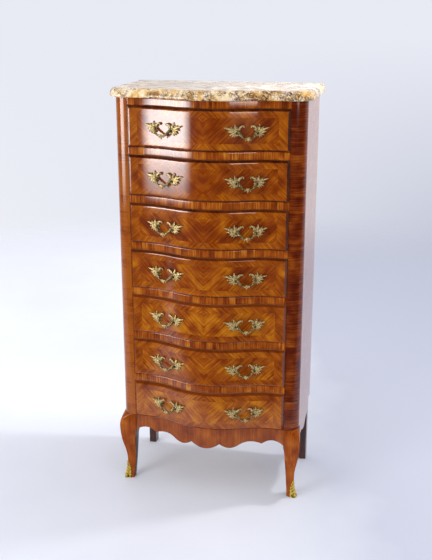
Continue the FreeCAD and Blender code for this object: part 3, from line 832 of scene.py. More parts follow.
@dataclass(frozen=True)
class PolishedSolid:
    """Solid or veneered wood whose grain runs straight along one axis of the object.

    The eye gets long, slightly wandering stripes; the gloss tells shellac from planed wood.
    """

    name: str
    axis: Axis
    tones: Tones
    band: float = 7 * MM
    length: float = 220 * MM
    contrast: float = 1.0
    relief: float = 0.12 * MM
    roughness: float = 0.32
    coat: float = 0.08
    polish: float = 1.0
    painted_inner_shade: str | None = None  # painted shade on its inner faces, which the case shadows

    def build(self) -> Material:
        """Build the material.

        Returns:
            The finished material.
        """
        material, tree = new_material(self.name)
        place = add_node(tree, "TexCoord", out="Object")
        tone = grain_tone(tree, place, self.axis.sizes(self.length, self.band), self.contrast)
        colour = add_node(tree, "ValToRGB", {0: tone}, stops=tone_stops(self.tones))
        # Painted shade: the inner faces, turned in under the case, take a dark colour.
        if self.painted_inner_shade is not None:
            inner = add_node(tree, "Attribute", attribute_name="inner", out="Fac")
            colour = add_node(tree, "Mix", {0: inner, 6: colour, 7: linear(self.painted_inner_shade)}, **IN_COLOUR)
        wood = polished(tree, colour, tone, self.relief, self.roughness, self.coat, self.polish)
        add_node(tree, "OutputMaterial", {"Surface": wood}, out=None)
        return material


@dataclass(frozen=True)
class BorderedSide(PolishedSolid):
    """Side of the case: upright kingwood inside a border whose grain runs across its length.

    The eye gets a tall, calm sheet in a slightly lighter frame; the face that only the drawers
    see is bare beech.
    """

    inner_face: float = 0.28
    edges: tuple[float, float, float, float] = (-0.13, 0.16, 0.23, 1.25)
    border: float = 36 * MM
    border_fine: float = 0.6  # width of the border's bands, in bands of the sheet
    clouds: float = 0.25
    border_tones: Tones = ("743004", "964806", "AC5E10", "C88430")
    bare: str = "A07C50"

    def build(self) -> Material:
        """Build the material.

        Returns:
            The finished material.
        """
        material, tree = new_material(self.name)
        place = add_node(tree, "TexCoord", out="Object")
        axes = add_node(tree, "SeparateXYZ", {0: place}).node.outputs

        def between(value: Socket, low: float, high: float) -> Socket:
            """Tell the sheet from its borders along one axis.

            Args:
                value: place along the axis.
                low: outer edge of the lower border.
                high: outer edge of the upper border.

            Returns:
                Socket with one between the borders and nothing on them.
            """
            middle, half = (low + high) / 2, (high - low) / 2 - self.border
            centred = add_node(tree, "Math", {0: value, 1: middle}, operation="SUBTRACT")
            away = add_node(tree, "Math", {0: centred}, operation="ABSOLUTE")
            return add_node(tree, "MapRange", {0: away, 1: half, 2: half + JOINT, 3: 1.0, 4: 0.0})

        y_low, y_high, z_low, z_high = self.edges
        inside_y, inside_z = between(axes["Y"], y_low, y_high), between(axes["Z"], z_low, z_high)
        inside = add_node(tree, "Math", {0: inside_y, 1: inside_z}, operation="MULTIPLY")
        fine = self.band * self.border_fine
        upright = grain_tone(tree, place, Axis.Z.sizes(self.length, self.band), self.contrast, self.clouds)
        level = grain_tone(tree, place, Axis.Y.sizes(self.length, fine), self.contrast, self.clouds)
        edge = add_node(tree, "Mix", {0: inside_y, 2: level, 3: upright}, out=0)
        sheet_wood = add_node(tree, "ValToRGB", {0: upright}, stops=tone_stops(self.tones))
        edge_wood = add_node(tree, "ValToRGB", {0: edge}, stops=tone_stops(self.border_tones))
        wood = add_node(tree, "Mix", {0: inside, 6: edge_wood, 7: sheet_wood}, **IN_COLOUR)
        depth = add_node(tree, "Math", {0: axes["X"]}, operation="ABSOLUTE")
        outer = add_node(tree, "MapRange", {0: depth, 1: self.inner_face + 0.3 * MM,
                                            2: self.inner_face + 0.6 * MM})
        colour = add_node(tree, "Mix", {0: outer, 6: linear(self.bare), 7: wood}, **IN_COLOUR)
        wood = polished(tree, colour, upright, self.relief, self.roughness, self.coat)
        add_node(tree, "OutputMaterial", {"Surface": wood}, out=None)
        return material


@dataclass(frozen=True)
class PlanedWood:
    """Planed, unfinished wood of the parts that are not seen when the drawers are shut.

    The eye gets a dry surface with long dark pores, and a seam with a change of tone wherever
    one board of a glued panel ends.
    """

    name: str
    axis: Axis
    tones: tuple[str, str, str]
    band: float = 5 * MM
    length: float = 140 * MM
    boards: float = 0.0  # width of the boards across X, or nothing for a whole one
    board_step: float = 0.16  # range of tone from board to board
    seam: float = 0.8 * MM
    joint: str = "1E140A"
    pore_width: float = 0.18  # in bands
    pore_length: float = 0.07  # in lengths of a stripe

    def glued(self, tree: Tree, place: Socket, tone: Socket) -> Socket:
        """Change the tone from board to board and drop it in the seams.

        Args:
            tree: node tree of the material.
            place: place in metres.
            tone: tone of the wood.

        Returns:
            Socket with the new tone.
        """
        across = add_node(tree, "SeparateXYZ", {0: place}, out="X")
        # Half a board more sets a board on the middle, and twenty keep its number positive.
        number = add_node(tree, "Math", {0: across, 1: 1 / self.boards, 2: 20.5}, operation="MULTIPLY_ADD")
        whole = add_node(tree, "Math", {0: number}, operation="FLOOR")
        cut = add_node(tree, "TexWhiteNoise", {"W": whole}, noise_dimensions="1D")
        tone = add_node(tree, "Math", {0: cut, 1: self.board_step, 2: tone}, operation="MULTIPLY_ADD")
        tone = add_node(tree, "Math", {0: tone, 1: self.board_step / 2}, operation="SUBTRACT")
        part = add_node(tree, "Math", {0: number}, operation="FRACT")
        middle = add_node(tree, "Math", {0: part, 1: 0.5}, operation="SUBTRACT")
        off = add_node(tree, "Math", {0: middle}, operation="ABSOLUTE")
        deep = 0.5 - self.seam / self.boards
        seam = add_node(tree, "MapRange", {0: off, 1: deep - self.seam / 2 / self.boards, 2: deep})
        return add_node(tree, "Math", {0: tone, 1: seam}, operation="SUBTRACT")

    def build(self) -> Material:
        """Build the material.

        Returns:
            The finished material.
        """
        material, tree = new_material(self.name)
        place = add_node(tree, "TexCoord", out="Object")
        tone = grain_tone(tree, place, self.axis.sizes(self.length, self.band), 0.6, 0.2)
        if self.boards > 0:
            tone = self.glued(tree, place, tone)
        stops = list(zip((0.0, 0.34, 0.5, 0.68), (self.joint, *self.tones)))
        colour = add_node(tree, "ValToRGB", {0: tone}, stops=stops)
        pore = self.axis.sizes(self.length * self.pore_length, self.band * self.pore_width)
        pores_at = add_node(tree, "Mapping", {"Vector": place, "Scale": [1 / size for size in pore]})
        pores = add_node(tree, "TexNoise", {"Vector": pores_at, "Scale": 1.0, "Detail": 1.0})
        dark = add_node(tree, "MapRange", {0: pores, 1: 0.60, 2: 0.74, 3: 0.0, 4: 0.45})
        colour = add_node(tree, "Mix", {0: dark, 6: colour, 7: linear(self.tones[0])}, **IN_COLOUR)
        bump = add_node(tree, "Bump", {"Height": pores, "Distance": 0.1 * MM, "Strength": 0.6})
        rough = add_node(tree, "MapRange", {0: tone, 1: 0.3, 2: 0.7, 3: 0.62, 4: 0.78})
        wood = add_node(tree, "BsdfPrincipled", {
            "Base Color": colour, "Roughness": rough, "Normal": bump})
        add_node(tree, "OutputMaterial", {"Surface": wood}, out=None)
        return material


@dataclass(frozen=True)
class Scribble:
    """Wandering vein: size of its bends, width in steps of the noise, and how much it is stirred."""

    size: float
    width: float
    bend: float

    def lines(self, tree: Tree, place: Socket) -> Socket:
        """Lines where a noise crosses its middle value, with a soft edge.

        Args:
            tree: node tree of the material.
            place: place in metres.

        Returns:
            Socket with one on the lines and nothing off them.
        """
        noise = add_node(tree, "TexNoise", {"Vector": place, "Scale": 1 / self.size, "Detail": 3.0,
                                            "Roughness": 0.6, "Distortion": self.bend})
        level = add_node(tree, "Math", {0: noise, 1: 0.5}, operation="SUBTRACT")
        away = add_node(tree, "Math", {0: level}, operation="ABSOLUTE")
        return add_node(tree, "MapRange", {0: away, 1: self.width * 0.3, 2: self.width, 3: 1.0, 4: 0.0})


@dataclass(frozen=True)
class BrecciaMarble:
    """Polished breccia marble: cream and honey ground, crossed by wandering brown-violet veins.

    The eye gets cloudy cream and ochre between fine dark scribbled lines that come in drifts,
    under a hard, wet-looking polish.
    """

    name: str = "polished_breccia_marble"
    cloud: float = 26 * MM
    drift: float = 41.66667 * MM
    vein: Scribble = Scribble(24 * MM, 0.055, 2.2)
    hair: Scribble = Scribble(11 * MM, 0.080, 1.6)
    ground: tuple[tuple[float, str], ...] = (
        (0.30, "C88C46"), (0.42, "E2B46C"), (0.50, "F0D29C"),
        (0.60, "F8E8CA"), (0.72, "F2D8B0"), (0.82, "E2B084"))
    lines: tuple[tuple[float, str], ...] = ((0.40, "481402"), (0.60, "5A2412"))
    roughness: float = 0.14

    def build(self) -> Material:
        """Build the material.

        Returns:
            The finished material.
        """
        material, tree = new_material(self.name)
        place = add_node(tree, "TexCoord", out="Object")
        clouds = add_node(tree, "TexNoise", {"Vector": place, "Scale": 1 / self.cloud, "Detail": 5.0,
                                             "Roughness": 0.62, "Distortion": 0.7})
        ground = add_node(tree, "ValToRGB", {0: clouds}, stops=self.ground)
        drift_at = add_node(tree, "Mapping", {"Vector": place, "Location": (4.0, 1.0, 2.0)})
        drift = add_node(tree, "TexNoise", {"Vector": drift_at, "Scale": 1 / self.drift, "Detail": 3.0})
        many = add_node(tree, "MapRange", {0: drift, 1: 0.36, 2: 0.50})
        few = add_node(tree, "MapRange", {0: drift, 1: 0.44, 2: 0.60, 4: 0.80})
        veins = add_node(tree, "Math", {0: self.vein.lines(tree, place), 1: many}, operation="MULTIPLY")
        hairs = add_node(tree, "Math", {0: self.hair.lines(tree, place), 1: few}, operation="MULTIPLY")
        lines = add_node(tree, "Math", {0: veins, 1: hairs}, operation="MAXIMUM")
        tint = add_node(tree, "ValToRGB", {0: clouds}, stops=self.lines)
        colour = add_node(tree, "Mix", {0: lines, 6: ground, 7: tint}, **IN_COLOUR)
        rough = add_node(tree, "MapRange", {0: lines, 3: self.roughness, 4: self.roughness * 2.2})
        bump = add_node(tree, "Bump", {"Height": lines, "Distance": 0.1 * MM, "Strength": 0.3}, invert=True)
        stone = add_node(tree, "BsdfPrincipled", {
            "Base Color": colour, "Roughness": rough, "Normal": bump, "IOR": 1.5})
        add_node(tree, "OutputMaterial", {"Surface": stone}, out=None)
        return material


@dataclass(frozen=True)
class GiltBrass:
    """Cast and chased brass with worn gilding.

    The eye gets pale gold on the high points, worn gilding with a painted highlight, and
    olive-brown tarnish deepened by painted shade in the hollows, with the broken sparkle of a
    surface that was cast in sand and worked with punches. The tarnish takes more than half of
    the metal's mirror away, so it is drawn less than fully metallic.
    """

    name: str = "cast_gilt_brass"
    tones: Tones = ("0A0601", "30230A", "7E652E", "E4CA8C")
    tone_places: tuple[float, float, float, float] = (0.28, 0.47, 0.67, 0.90)
    punch: float = 2.63158 * MM
    metal: float = 0.45

    def build(self) -> Material:
        """Build the material for a piece with a crest attribute.

        Returns:
            The finished material.
        """
        material, tree = new_material(self.name)
        place = add_node(tree, "TexCoord", out="Object")
        crest = add_node(tree, "Attribute", attribute_name="crest", out="Fac")
        patina = add_node(tree, "TexNoise", {"Vector": place, "Scale": 1 / self.punch, "Detail": 2.0,
                                             "Roughness": 0.6})
        # Worn gilding and tarnish by the crest, with a painted highlight on the high points and painted shade
        # in the hollows.
        worn = add_node(tree, "Math", {0: crest, 1: 0.72, 2: -0.40}, operation="MULTIPLY_ADD")
        tone = add_node(tree, "Math", {0: patina, 1: 1.3, 2: worn}, operation="MULTIPLY_ADD")
        colour = add_node(tree, "ValToRGB", {0: tone}, stops=list(zip(self.tone_places, self.tones)))
        rough = add_node(tree, "MapRange", {0: tone, 1: 0.2, 2: 1.0, 3: 0.80, 4: 0.50})
        bump = add_node(tree, "Bump", {"Height": patina, "Distance": 0.4 * MM, "Strength": 0.7})
        metal = add_node(tree, "BsdfPrincipled", {
            "Base Color": colour, "Roughness": rough, "Normal": bump, "Metallic": self.metal})
        add_node(tree, "OutputMaterial", {"Surface": metal}, out=None)
        return material


# ---- marble ----


@dataclass
class MarbleSlab:
    """Loose marble slab with a bowed front, rounded corners and a moulded edge on its free sides."""

    material: Material
    corner_radius: float = 54 * MM
    back_corner_radius: float = 26 * MM
    nose_width: float = 20 * MM
    nose_height: float = 21 * MM
    under_round: float = 6 * MM
    back_share: float = 0.1  # of the moulding's width that is left along the back
    sharp_deg: float = 40.0
    bow_points: int = 121
    corner_points: int = 17
    side_points: int = 12
    back_points: int = 16
    under_points: int = 7
    nose_points: int = 13

    def plan(self, half: float, front: float, back: float) -> tuple[Array, Array, Array]:
        """Outline of the slab in plan, anticlockwise from the left end of its front.

        Args:
            half: half of its width.
            front: offset of its front from the bowed line.
            back: y of its back edge.

        Returns:
            Places, outward normals, and the share of the moulding carried at each place.
        """
        reach = BOW.arc_of(half - self.corner_radius)
        arc = np.linspace(-reach, reach, self.bow_points)
        quarter = np.linspace(0, math.pi / 2, self.corner_points)
        r, b = self.corner_radius, self.back_corner_radius
        y_front = PLACES.front_plane - front

        def corner(x: float, y: float, radius: float, start: float) -> tuple[Array, Array]:
            """Quarter circle about a centre, from an angle on, with its normals."""
            way = np.stack([np.cos(start + quarter), np.sin(start + quarter)], -1)
            return np.array([x, y]) + radius * way, way

        def straight(first: Sequence[float], last: Sequence[float], count: int) -> tuple[Array, Array]:
            """Even steps between two corners.

            Args:
                first: corner before the first place.
                last: corner after the last place.
                count: number of places.

            Returns:
                Places, and normals that point to the right of the way.
            """
            first, last = np.array(first), np.array(last)
            way = (last - first) / np.linalg.norm(last - first)
            share = np.linspace(0, 1, count + 2)[1:-1, None]
            return first + share * (last - first), np.tile([way[1], -way[0]], (count, 1))

        stretches = [
            (BOW.at_arc(arc, front), BOW.at_arc(arc, 1.0) - BOW.at_arc(arc, 0.0)),
            corner(half - r, y_front + r, r, -math.pi / 2),
            straight((half, y_front + r), (half, back - b), self.side_points),
            corner(half - b, back - b, b, 0.0),
            straight((half - b, back), (b - half, back), self.back_points),
            corner(b - half, back - b, b, math.pi / 2),
            straight((-half, back - b), (-half, y_front + r), self.side_points),
            corner(r - half, y_front + r, r, math.pi),
        ]
        # The bow already holds the first place of the first corner and the last of the last.
        stretches[1] = tuple(rows[1:] for rows in stretches[1])
        stretches[-1] = tuple(rows[:-1] for rows in stretches[-1])
        places, normals = (np.concatenate(rows) for rows in zip(*stretches))
        share = 1 - (1 - self.back_share) * smooth_step(places[:, 1], back - b, back - b * 0.25)
        return places, normals, share

    def build(self) -> None:
        """Build the slab: the edge profile carried round the plan, closed by two flat faces.

        The profile rises from the underside in a quarter round, stands upright, and leans
        back in a quarter ellipse of nose_width by nose_height to the flat top.
        """
        low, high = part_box("marble_top")
        places, normals, share = self.plan(high.x, -(low.y - PLACES.front_plane) - PLACES.bow_depth, high.y)
        under = np.linspace(0, math.pi / 2, self.under_points)
        nose = np.linspace(0, math.pi / 2, self.nose_points)
        inset = np.concatenate([self.under_round * (1 - np.sin(under)), self.nose_width * (1 - np.cos(nose))])
        rise = np.concatenate([self.under_round * (1 - np.cos(under)),
                               high.z - low.z - self.nose_height + self.nose_height * np.sin(nose)])
        ring = places[:, None, :] - normals[:, None, :] * (inset[None, :] * share[:, None])[..., None]
        z = np.broadcast_to(low.z + rise, ring.shape[:2])
        rings = np.concatenate([ring, z[..., None]], -1).transpose(1, 0, 2)
        points, faces = closed_tube(rings)
        thing = mesh_piece("marble_slab", points, outwards(points, faces), None, self.sharp_deg)
        settle(thing, "carcass", "marble", self.material, "marble_top")


# ---- carcass front ----


@dataclass
class FrontFrame:
    """Rails and posts round the drawers."""

    rail_finish: Material
    post_finish: Material
    rail_ease: float = 0.8 * MM
    rail_sheet_step: float = 3.7
    post_sheets: tuple[float, float] = (7.4, 3.2)  # of the right and the left post
    # Painted light: the left post is drawn lighter, as if lit from the left.
    post_painted_light: tuple[float, float] = (0.0, 0.24)
    arc_steps: int = 24
    sharp_deg: float = 40.0

    def rails(self) -> None:
        """Build the top rail and the dividers, each in place of its node."""
        names = ["top_rail"] + [node for node in frame["nodes"] if node.startswith("divider_rail_")]
        for number, node in enumerate(names):
            low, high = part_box(node)
            board = BowedBoard("veneered_" + node, PLACES.opening_half, low.z, high.z, high.y,
                               bevel=self.rail_ease, bevel_depth=self.rail_ease, softness=self.rail_ease,
                               sheet=self.rail_sheet_step * number)
            settle(board.build(), "carcass", "rail_veneer", self.rail_finish, node)

    def posts(self) -> None:
        """Build both posts: flat face, quarter round and straight side, drawn upright."""
        p = PLACES
        radius = p.post_back - p.front_plane
        flat_end = p.case_half - radius
        turn = np.linspace(0, math.pi / 2, self.arc_steps)
        x = np.concatenate([[p.opening_half, (p.opening_half + flat_end) / 2],
                            flat_end + radius * np.sin(turn), [p.opening_half]])
        y = np.concatenate([[p.front_plane] * 2, p.post_back - radius * np.cos(turn), [p.post_back]])
        run = np.concatenate([[0], np.cumsum(np.hypot(np.diff(x), np.diff(y)))])
        levels = np.array([p.base_top, p.case_top])
        for (word, side), sheet, lighter in zip(SIDES.items(), self.post_sheets, self.post_painted_light):
            rings = np.stack([np.stack([side * x, y, np.full_like(x, z)], -1) for z in levels])
            points, faces = closed_tube(rings)
            uv = np.stack([np.tile(run, 2), np.repeat(levels, len(x))], -1)
            thing = mesh_piece("veneered_post_" + word, points, outwards(points, faces), uv, self.sharp_deg, {
                "sheet": np.full(len(points), sheet),
                "lighter": np.full(len(points), lighter),
            })
            settle(thing, "carcass", "post_veneer", self.post_finish, "front_post_" + word)

    def build(self) -> None:
        """Build the rails, then the posts."""
        self.rails()
        self.posts()


@dataclass(frozen=True)
class Scallop:
    """One scallop of a lower edge, in millimetres: its ends and its depths below the drawers."""

    start: float
    end: float
    start_depth: float
    middle_depth: float
    end_depth: float

    def edge(self, steps: int) -> Array:
        """Places along the scallop, on the parabola through its three depths.

        Args:
            steps: number of places.

        Returns:
            Rows of x and depth.
        """
        t = np.linspace(0, 1, steps)
        depth = (self.start_depth * (1 - t) * (1 - 2 * t) + 4 * self.middle_depth * t * (1 - t)
                 + self.end_depth * t * (2 * t - 1))
        return np.stack([self.start + (self.end - self.start) * t, depth])


@dataclass
class ScallopedApron:
    """Bowed apron under the drawers with a cut outline."""

    material: Material
    scallops: tuple[Scallop, ...] = (
        Scallop(-46.0, 46.0, 52.0, 69.5, 52.0),
        Scallop(46.0, 78.0, 52.0, 61.5, 65.5),
        Scallop(78.0, 110.0, 65.5, 62.5, 54.0),
        Scallop(110.0, 138.0, 54.0, 48.5, 46.5),
        Scallop(138.0, 176.0, 46.5, 48.5, 54.5),
        Scallop(176.0, 245.0, 54.5, 40.5, 55.0),
    )
    steps: int = 15
    stations: int = 70

    def lower_edge(self) -> Array:
        """Scalloped edge from left to right; the middle scallop is its own mirror image.

        Returns:
            Rows of x and z, in metres.
        """
        x, depth = np.concatenate([scallop.edge(self.steps) for scallop in self.scallops], 1)
        x, depth = np.concatenate([x, -x]), np.concatenate([depth, depth])
        order = np.argsort(x, kind="stable")
        return np.stack([x[order] * MM, PLACES.base_top - depth[order] * MM])

    def build(self) -> None:
        """Build the apron in place of its node."""
        low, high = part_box("front_apron")
        board = BowedBoard("veneered_front_apron", PLACES.opening_half, low.z, high.z, high.y,
                           cuts=SawnCuts(), stations=self.stations)
        settle(board.build(self.lower_edge()), "carcass", "apron_veneer", self.material, "front_apron")


# ---- drawers ----


@dataclass
class DrawerSet:
    """The bowed drawer fronts."""

    material: Material
    inner_wood: Material
    bevel: float = 6.2 * MM
    bevel_depth: float = 9 * MM
    softness: float = 0.8 * MM
    end_gap: float = 0.15 * MM
    sheet_step: float = 7.3
    lighter: tuple[float, ...] = (-0.03, -0.02, 0.01, 0.03, 0.11, 0.07, 0.10)

    def build(self) -> None:
        """Build each front in place of its node; its end stands just inside the tails."""
        for number, lighter in zip(DRAWERS, self.lighter):
            node = f"drawer_{number}_front"
            low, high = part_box(node)
            board = BowedBoard(f"veneered_front_{number}", high.x, low.z, high.z, high.y, FRONT_PROJECTION,
                               bevel=self.bevel, bevel_depth=self.bevel_depth, softness=self.softness,
                               end_gap=self.end_gap, cuts=SawnCuts(), sheet=self.sheet_step * number,
                               lighter=lighter, two_woods=True)
            settle(board.build(), f"drawer_{number}", "drawer_veneer", (self.material, self.inner_wood), node)


# ---- legs and sabots ----


@dataclass(frozen=True)
class LegForm:
    """Section of a cabriole leg at any height, in lengths out from the block's inner corner."""

    height: float
    block: float = 44 * MM
    swell: float = 3.6 * MM  # knee past the block
    waist: float = 12 * MM  # ankle inside the block
    knee_share: float = 0.845  # height of the knee
    ankle_share: float = 0.245  # height of the ankle
    knee_radius_share: float = 0.6  # of both radii together
    tilt: float = math.tan(math.radians(6.5))
    tilt_loss: float = 0.85  # of the tilt that is gone under the post
    top_round: float = 36 * MM  # radius of the ridge under the post
    ridge_round: float = 2.5 * MM  # radius of the ridge below the knee
    round_share: float = 0.823  # height where the ridge starts to open
    block_share: float = 0.768  # height of the foot of the block
    hollow_share: float = 0.632  # height where the hollow has its full depth
    hollow: float = 4.3 * MM
    foot_set: float = 14 * MM  # inner face of the foot out from that of the block
    foot_bend: float = 0.4

    def outer(self, z: Array) -> Array:
        """Reach of the outer faces at the inner edge.

        It is a knee arc and an ankle arc that touch: two circles touch from outside where
        their centres stand the sum of their radii apart.

        Args:
            z: heights above the floor.

        Returns:
            Reach at each height.
        """
        knee, ankle = self.block + self.swell, self.block - self.waist
        z_knee, z_ankle = self.height * self.knee_share, self.height * self.ankle_share
        both = ((knee - ankle) ** 2 + (z_knee - z_ankle) ** 2) / (2 * (knee - ankle))
        r_knee = both * self.knee_radius_share
        r_ankle = both - r_knee
        z_turn = z_knee + (z_ankle - z_knee) * self.knee_radius_share
        upper = knee - r_knee + np.sqrt(r_knee ** 2 - (z - z_knee) ** 2)
        lower = ankle + r_ankle - np.sqrt(r_ankle ** 2 - (z - z_ankle) ** 2)
        return np.where(z > z_turn, upper, lower)

    def inner(self, z: Array) -> Array:
        """Reach of the inner faces: none at the block, a shallow hollow, then the set-out foot.

        Above the hollow it rises smoothly; below it runs out to the foot as a straight share
        and a squared share of the way down.

        Args:
            z: heights above the floor.

        Returns:
            Reach at each height.
        """
        z_block, z_hollow = self.height * self.block_share, self.height * self.hollow_share
        above = self.hollow * smooth_step(z_block - z, 0.0, z_block - z_hollow)
        t = np.clip(1 - z / z_hollow, 0, 1)
        way = (1 - self.foot_bend) * t + self.foot_bend * t ** 2
        return np.where(z > z_hollow, above, self.hollow + (self.foot_set - self.hollow) * way)

    def opening(self, z: Array) -> Array:
        """Share of the way from where the ridge starts to open up to the post."""
        return np.clip((z / self.height - self.round_share) / (1 - self.round_share), 0, 1)

    def slope(self, z: Array) -> Array:
        """Slope of an outer face towards the ridge; it dies out under the post."""
        return self.tilt * (1 - self.tilt_loss * self.opening(z) ** 2)

    def ridge_radius(self, z: Array) -> Array:
        """Radius of the ridge, opening with the cube of the height to that of the post."""
        return self.ridge_round + (self.top_round - self.ridge_round) * self.opening(z) ** 3

    def nose(self, z: Array) -> Array:
        """Reach of the sharp ridge along either side."""
        return self.outer(z) / (1 - self.slope(z))


def round_corner(before: Array, corner: Array, after: Array, radius: Array, steps: int) -> Array:
    """Round a corner between two others with a rational quadratic, a circle at a right angle.

    Args:
        before: places of the corner before, in rows.
        corner: places of the corner.
        after: places of the corner after.
        radius: length cut from both sides.
        steps: number of points on the curve.

    Returns:
        Rows by steps by 2 places.
    """
    def towards(end: Array) -> Array:
        """Place at the cut length on the way to a neighbour."""
        way = end - corner
        return corner + way / np.linalg.norm(way, axis=-1, keepdims=True) * radius[:, None]

    t = np.linspace(0, 1, steps)[None, :, None]
    weights = (1 - t) ** 2, math.sqrt(2) * t * (1 - t), t ** 2
    controls = towards(before), corner, towards(after)
    return sum(w * c[:, None] for w, c in zip(weights, controls)) / sum(weights)


@dataclass
class FrontLegs:
    """The two cabriole front legs and their cast sabots."""

    wood: Material
    brass: Material
    levels: int = 64
    inner_arris: float = 2.5 * MM
    arris: float = 1.6 * MM
    sabot_height: float = 60 * MM
    sabot_half: float = 21 * MM
    sabot_relief: float = 2.8 * MM
    sabot_sunk: float = 1.2 * MM  # back of the sabot inside the wood
    sabot_waves: float = 5.5  # waves along its edge, and ribs across it
    rib: float = 0.5 * MM
    ridge_blend: float = 4 * MM
    toe_radius: float = 5.5 * MM
    toe_half: float = 9.0 * MM
    toe_groove: float = 0.28 * MM
    toe_rings: float = 5.0
    toe_lift: float = 1.08  # height of its axis, in radii
    toe_sink: float = 0.62  # of its radius that lies inside the ridge
    sharp_deg: float = 32.0
    cast_sharp_deg: float = 50.0

    @property
    def form(self) -> LegForm:
        """Section of the legs."""
        return LegForm(PLACES.base_top)

    def world(self, a: Array, b: Array, z: Array, side: float) -> Array:
        """Turn lengths out from the block's inner corner into places, on the right or the left."""
        x = side * (PLACES.opening_half + a)
        return np.stack([x, PLACES.front_plane + self.form.block - b, z], -1)

    def leg(self, word: str, side: float) -> None:
        """Build one leg from its rounded sections.

        Each section has four corners: the inner one, one on either outer face at the inner
        edge, and the ridge, where the sloping outer faces meet.

        Args:
            word: right or left.
            side: sign of x on that side.
        """
        form = self.form
        z = np.linspace(0, form.height, self.levels)
        i, c, k, n = form.inner(z), form.outer(z), form.slope(z), form.nose(z)
        corners = [np.stack(pair, -1) for pair in ((i, i), (c + k * i, i), (n, n), (i, c + k * i))]
        radii = [np.full_like(z, self.inner_arris), np.full_like(z, self.arris), form.ridge_radius(z),
                 np.full_like(z, self.arris)]
        steps = (5, 5, 15, 5)
        parts = [round_corner(corners[m - 1], corners[m], corners[(m + 1) % 4], radii[m], steps[m])
                 for m in range(4)]
        section = np.concatenate(parts, 1)
        levels = np.broadcast_to(z[:, None], section.shape[:2])
        rings = self.world(section[..., 0], section[..., 1], levels, side)
        points, faces = closed_tube(rings)
        # The inner faces, which carry the painted shade, take in the inner corner and the nearer half of
        # either one beside it.
        inner = np.concatenate([np.ones(steps[0] + 2), np.zeros(3 + steps[2] + 3), np.ones(2)])
        thing = mesh_piece("cabriole_leg_" + word, points, outwards(points, faces), None, self.sharp_deg,
                           {"inner": np.tile(inner, self.levels)})
        settle(thing, "carcass", "leg_wood", self.wood, "front_leg_" + word)

    def leaf(self, side: float) -> Skin:
        """Cast leaf over the ridge of the foot.

        Its half width falls with the height as (1 - v)^0.7, waved along the edge; its relief
        is highest on the ridge and carries veins that spread from the tip. Each place is
        taken from the sharp ridge along its face, on the blended normal of the two faces.

        Args:
            side: sign of x on the leg's side.

        Returns:
            Closed skin of the leaf.
        """
        form = self.form
        v = np.linspace(0, 1, 34)[:, None]
        u = np.linspace(-1, 1, 31)[None, :]
        z = v * self.sabot_height + 0 * u
        waved = 1 + 0.10 * np.cos(v * self.sabot_waves * 2 * math.pi)
        e = u * self.sabot_half * (1 - v * 0.995) ** 0.7 * waved
        slope, nose = form.slope(z), form.nose(z)
        turn = smooth_step(e, -self.ridge_blend, self.ridge_blend)
        norm = np.sqrt(1 + slope ** 2)
        a = nose - np.where(e > 0, slope, 1.0) / norm * np.abs(e)
        b = nose - np.where(e > 0, 1.0, slope) / norm * np.abs(e)
        na, nb = turn - (1 - turn) * slope, (1 - turn) - turn * slope
        length = np.hypot(na, nb)
        na, nb = na / length, nb / length
        rim = 1 - np.abs(u)
        veins = 0.5 + 0.5 * np.cos(u * math.pi * (3.2 - 1.2 * v))
        ribs = 0.5 + 0.5 * np.cos(2 * math.pi * (self.sabot_waves * v + 1.6 * np.abs(u)))
        relief = self.sabot_relief * (0.35 + 0.65 * (1 - u ** 2) ** 0.5 * (0.6 + 0.4 * veins))
        relief = relief * (1 - 0.25 * v) * np.minimum(1, rim * 8 + 0.25) + self.rib * ribs * rim
        crest = np.minimum(1, rim * 6 + 0.2) * (0.45 + 0.25 * veins + 0.40 * ribs)
        outer = self.world(a + na * relief, b + nb * relief, z, side)
        under = self.world(a - na * self.sabot_sunk, b - nb * self.sabot_sunk, z, side)
        rings = np.concatenate([outer, under[:, ::-1]], 1)
        return Skin.from_rings(rings, np.concatenate([crest, 0 * crest], 1))

    def toe(self, side: float) -> Skin:
        """Rolled toe: a barrel across the foot whose radius falls to its ends, with turned grooves.

        Args:
            side: sign of x on the leg's side.

        Returns:
            Closed skin of the toe.
        """
        w = np.concatenate([[-1.0], np.linspace(-1, 1, 33), [1.0]])
        grooves = np.cos(w * self.toe_rings * math.pi)
        radius = self.toe_radius * (1 - 0.30 * np.abs(w) ** 2.2) + self.toe_groove * grooves
        radius[[0, -1]] = 0.4 * MM
        angle = np.linspace(0, 2 * math.pi, 25)[:-1]
        ridge = float(self.form.nose(np.array([self.toe_radius]))[0])
        out = ridge - self.toe_radius * self.toe_sink + radius[:, None] * np.cos(angle) * math.sqrt(0.5)
        across = (w * self.toe_half * math.sqrt(0.5))[:, None]
        z = self.toe_radius * self.toe_lift + radius[:, None] * np.sin(angle)
        rings = self.world(out + across, out - across, z, side)
        return Skin.from_rings(rings, (0.6 + 0.4 * grooves)[:, None])

    def build(self) -> None:
        """Build both legs, then the two sabots as one piece."""
        skins = []
        for word, side in SIDES.items():
            self.leg(word, side)
            skins += [self.leaf(side), self.toe(side)]
        thing = join_skins("cast_sabots", skins, self.cast_sharp_deg)
        settle(thing, "carcass", "gilt_brass", self.brass, "sabots")


# ---- pulls ----


def bezier(controls: Sequence[Sequence[float]], t: Array) -> Array:
    """Bezier curve: the controls weighted by the Bernstein polynomials of t.

    Args:
        controls: places of the control points.
        t: shares of the way along the curve.

    Returns:
        Place at each share.
    """
    points = np.array(controls, float)
    n = len(points) - 1
    weights = np.stack([math.comb(n, k) * t ** k * (1 - t) ** (n - k) for k in range(n + 1)], -1)
    return weights @ points


class Section(Enum):
    """Cross-sections of the cast members of a pull."""

    LEAF = "lens with a groove along its front"
    ROD = "ellipse"


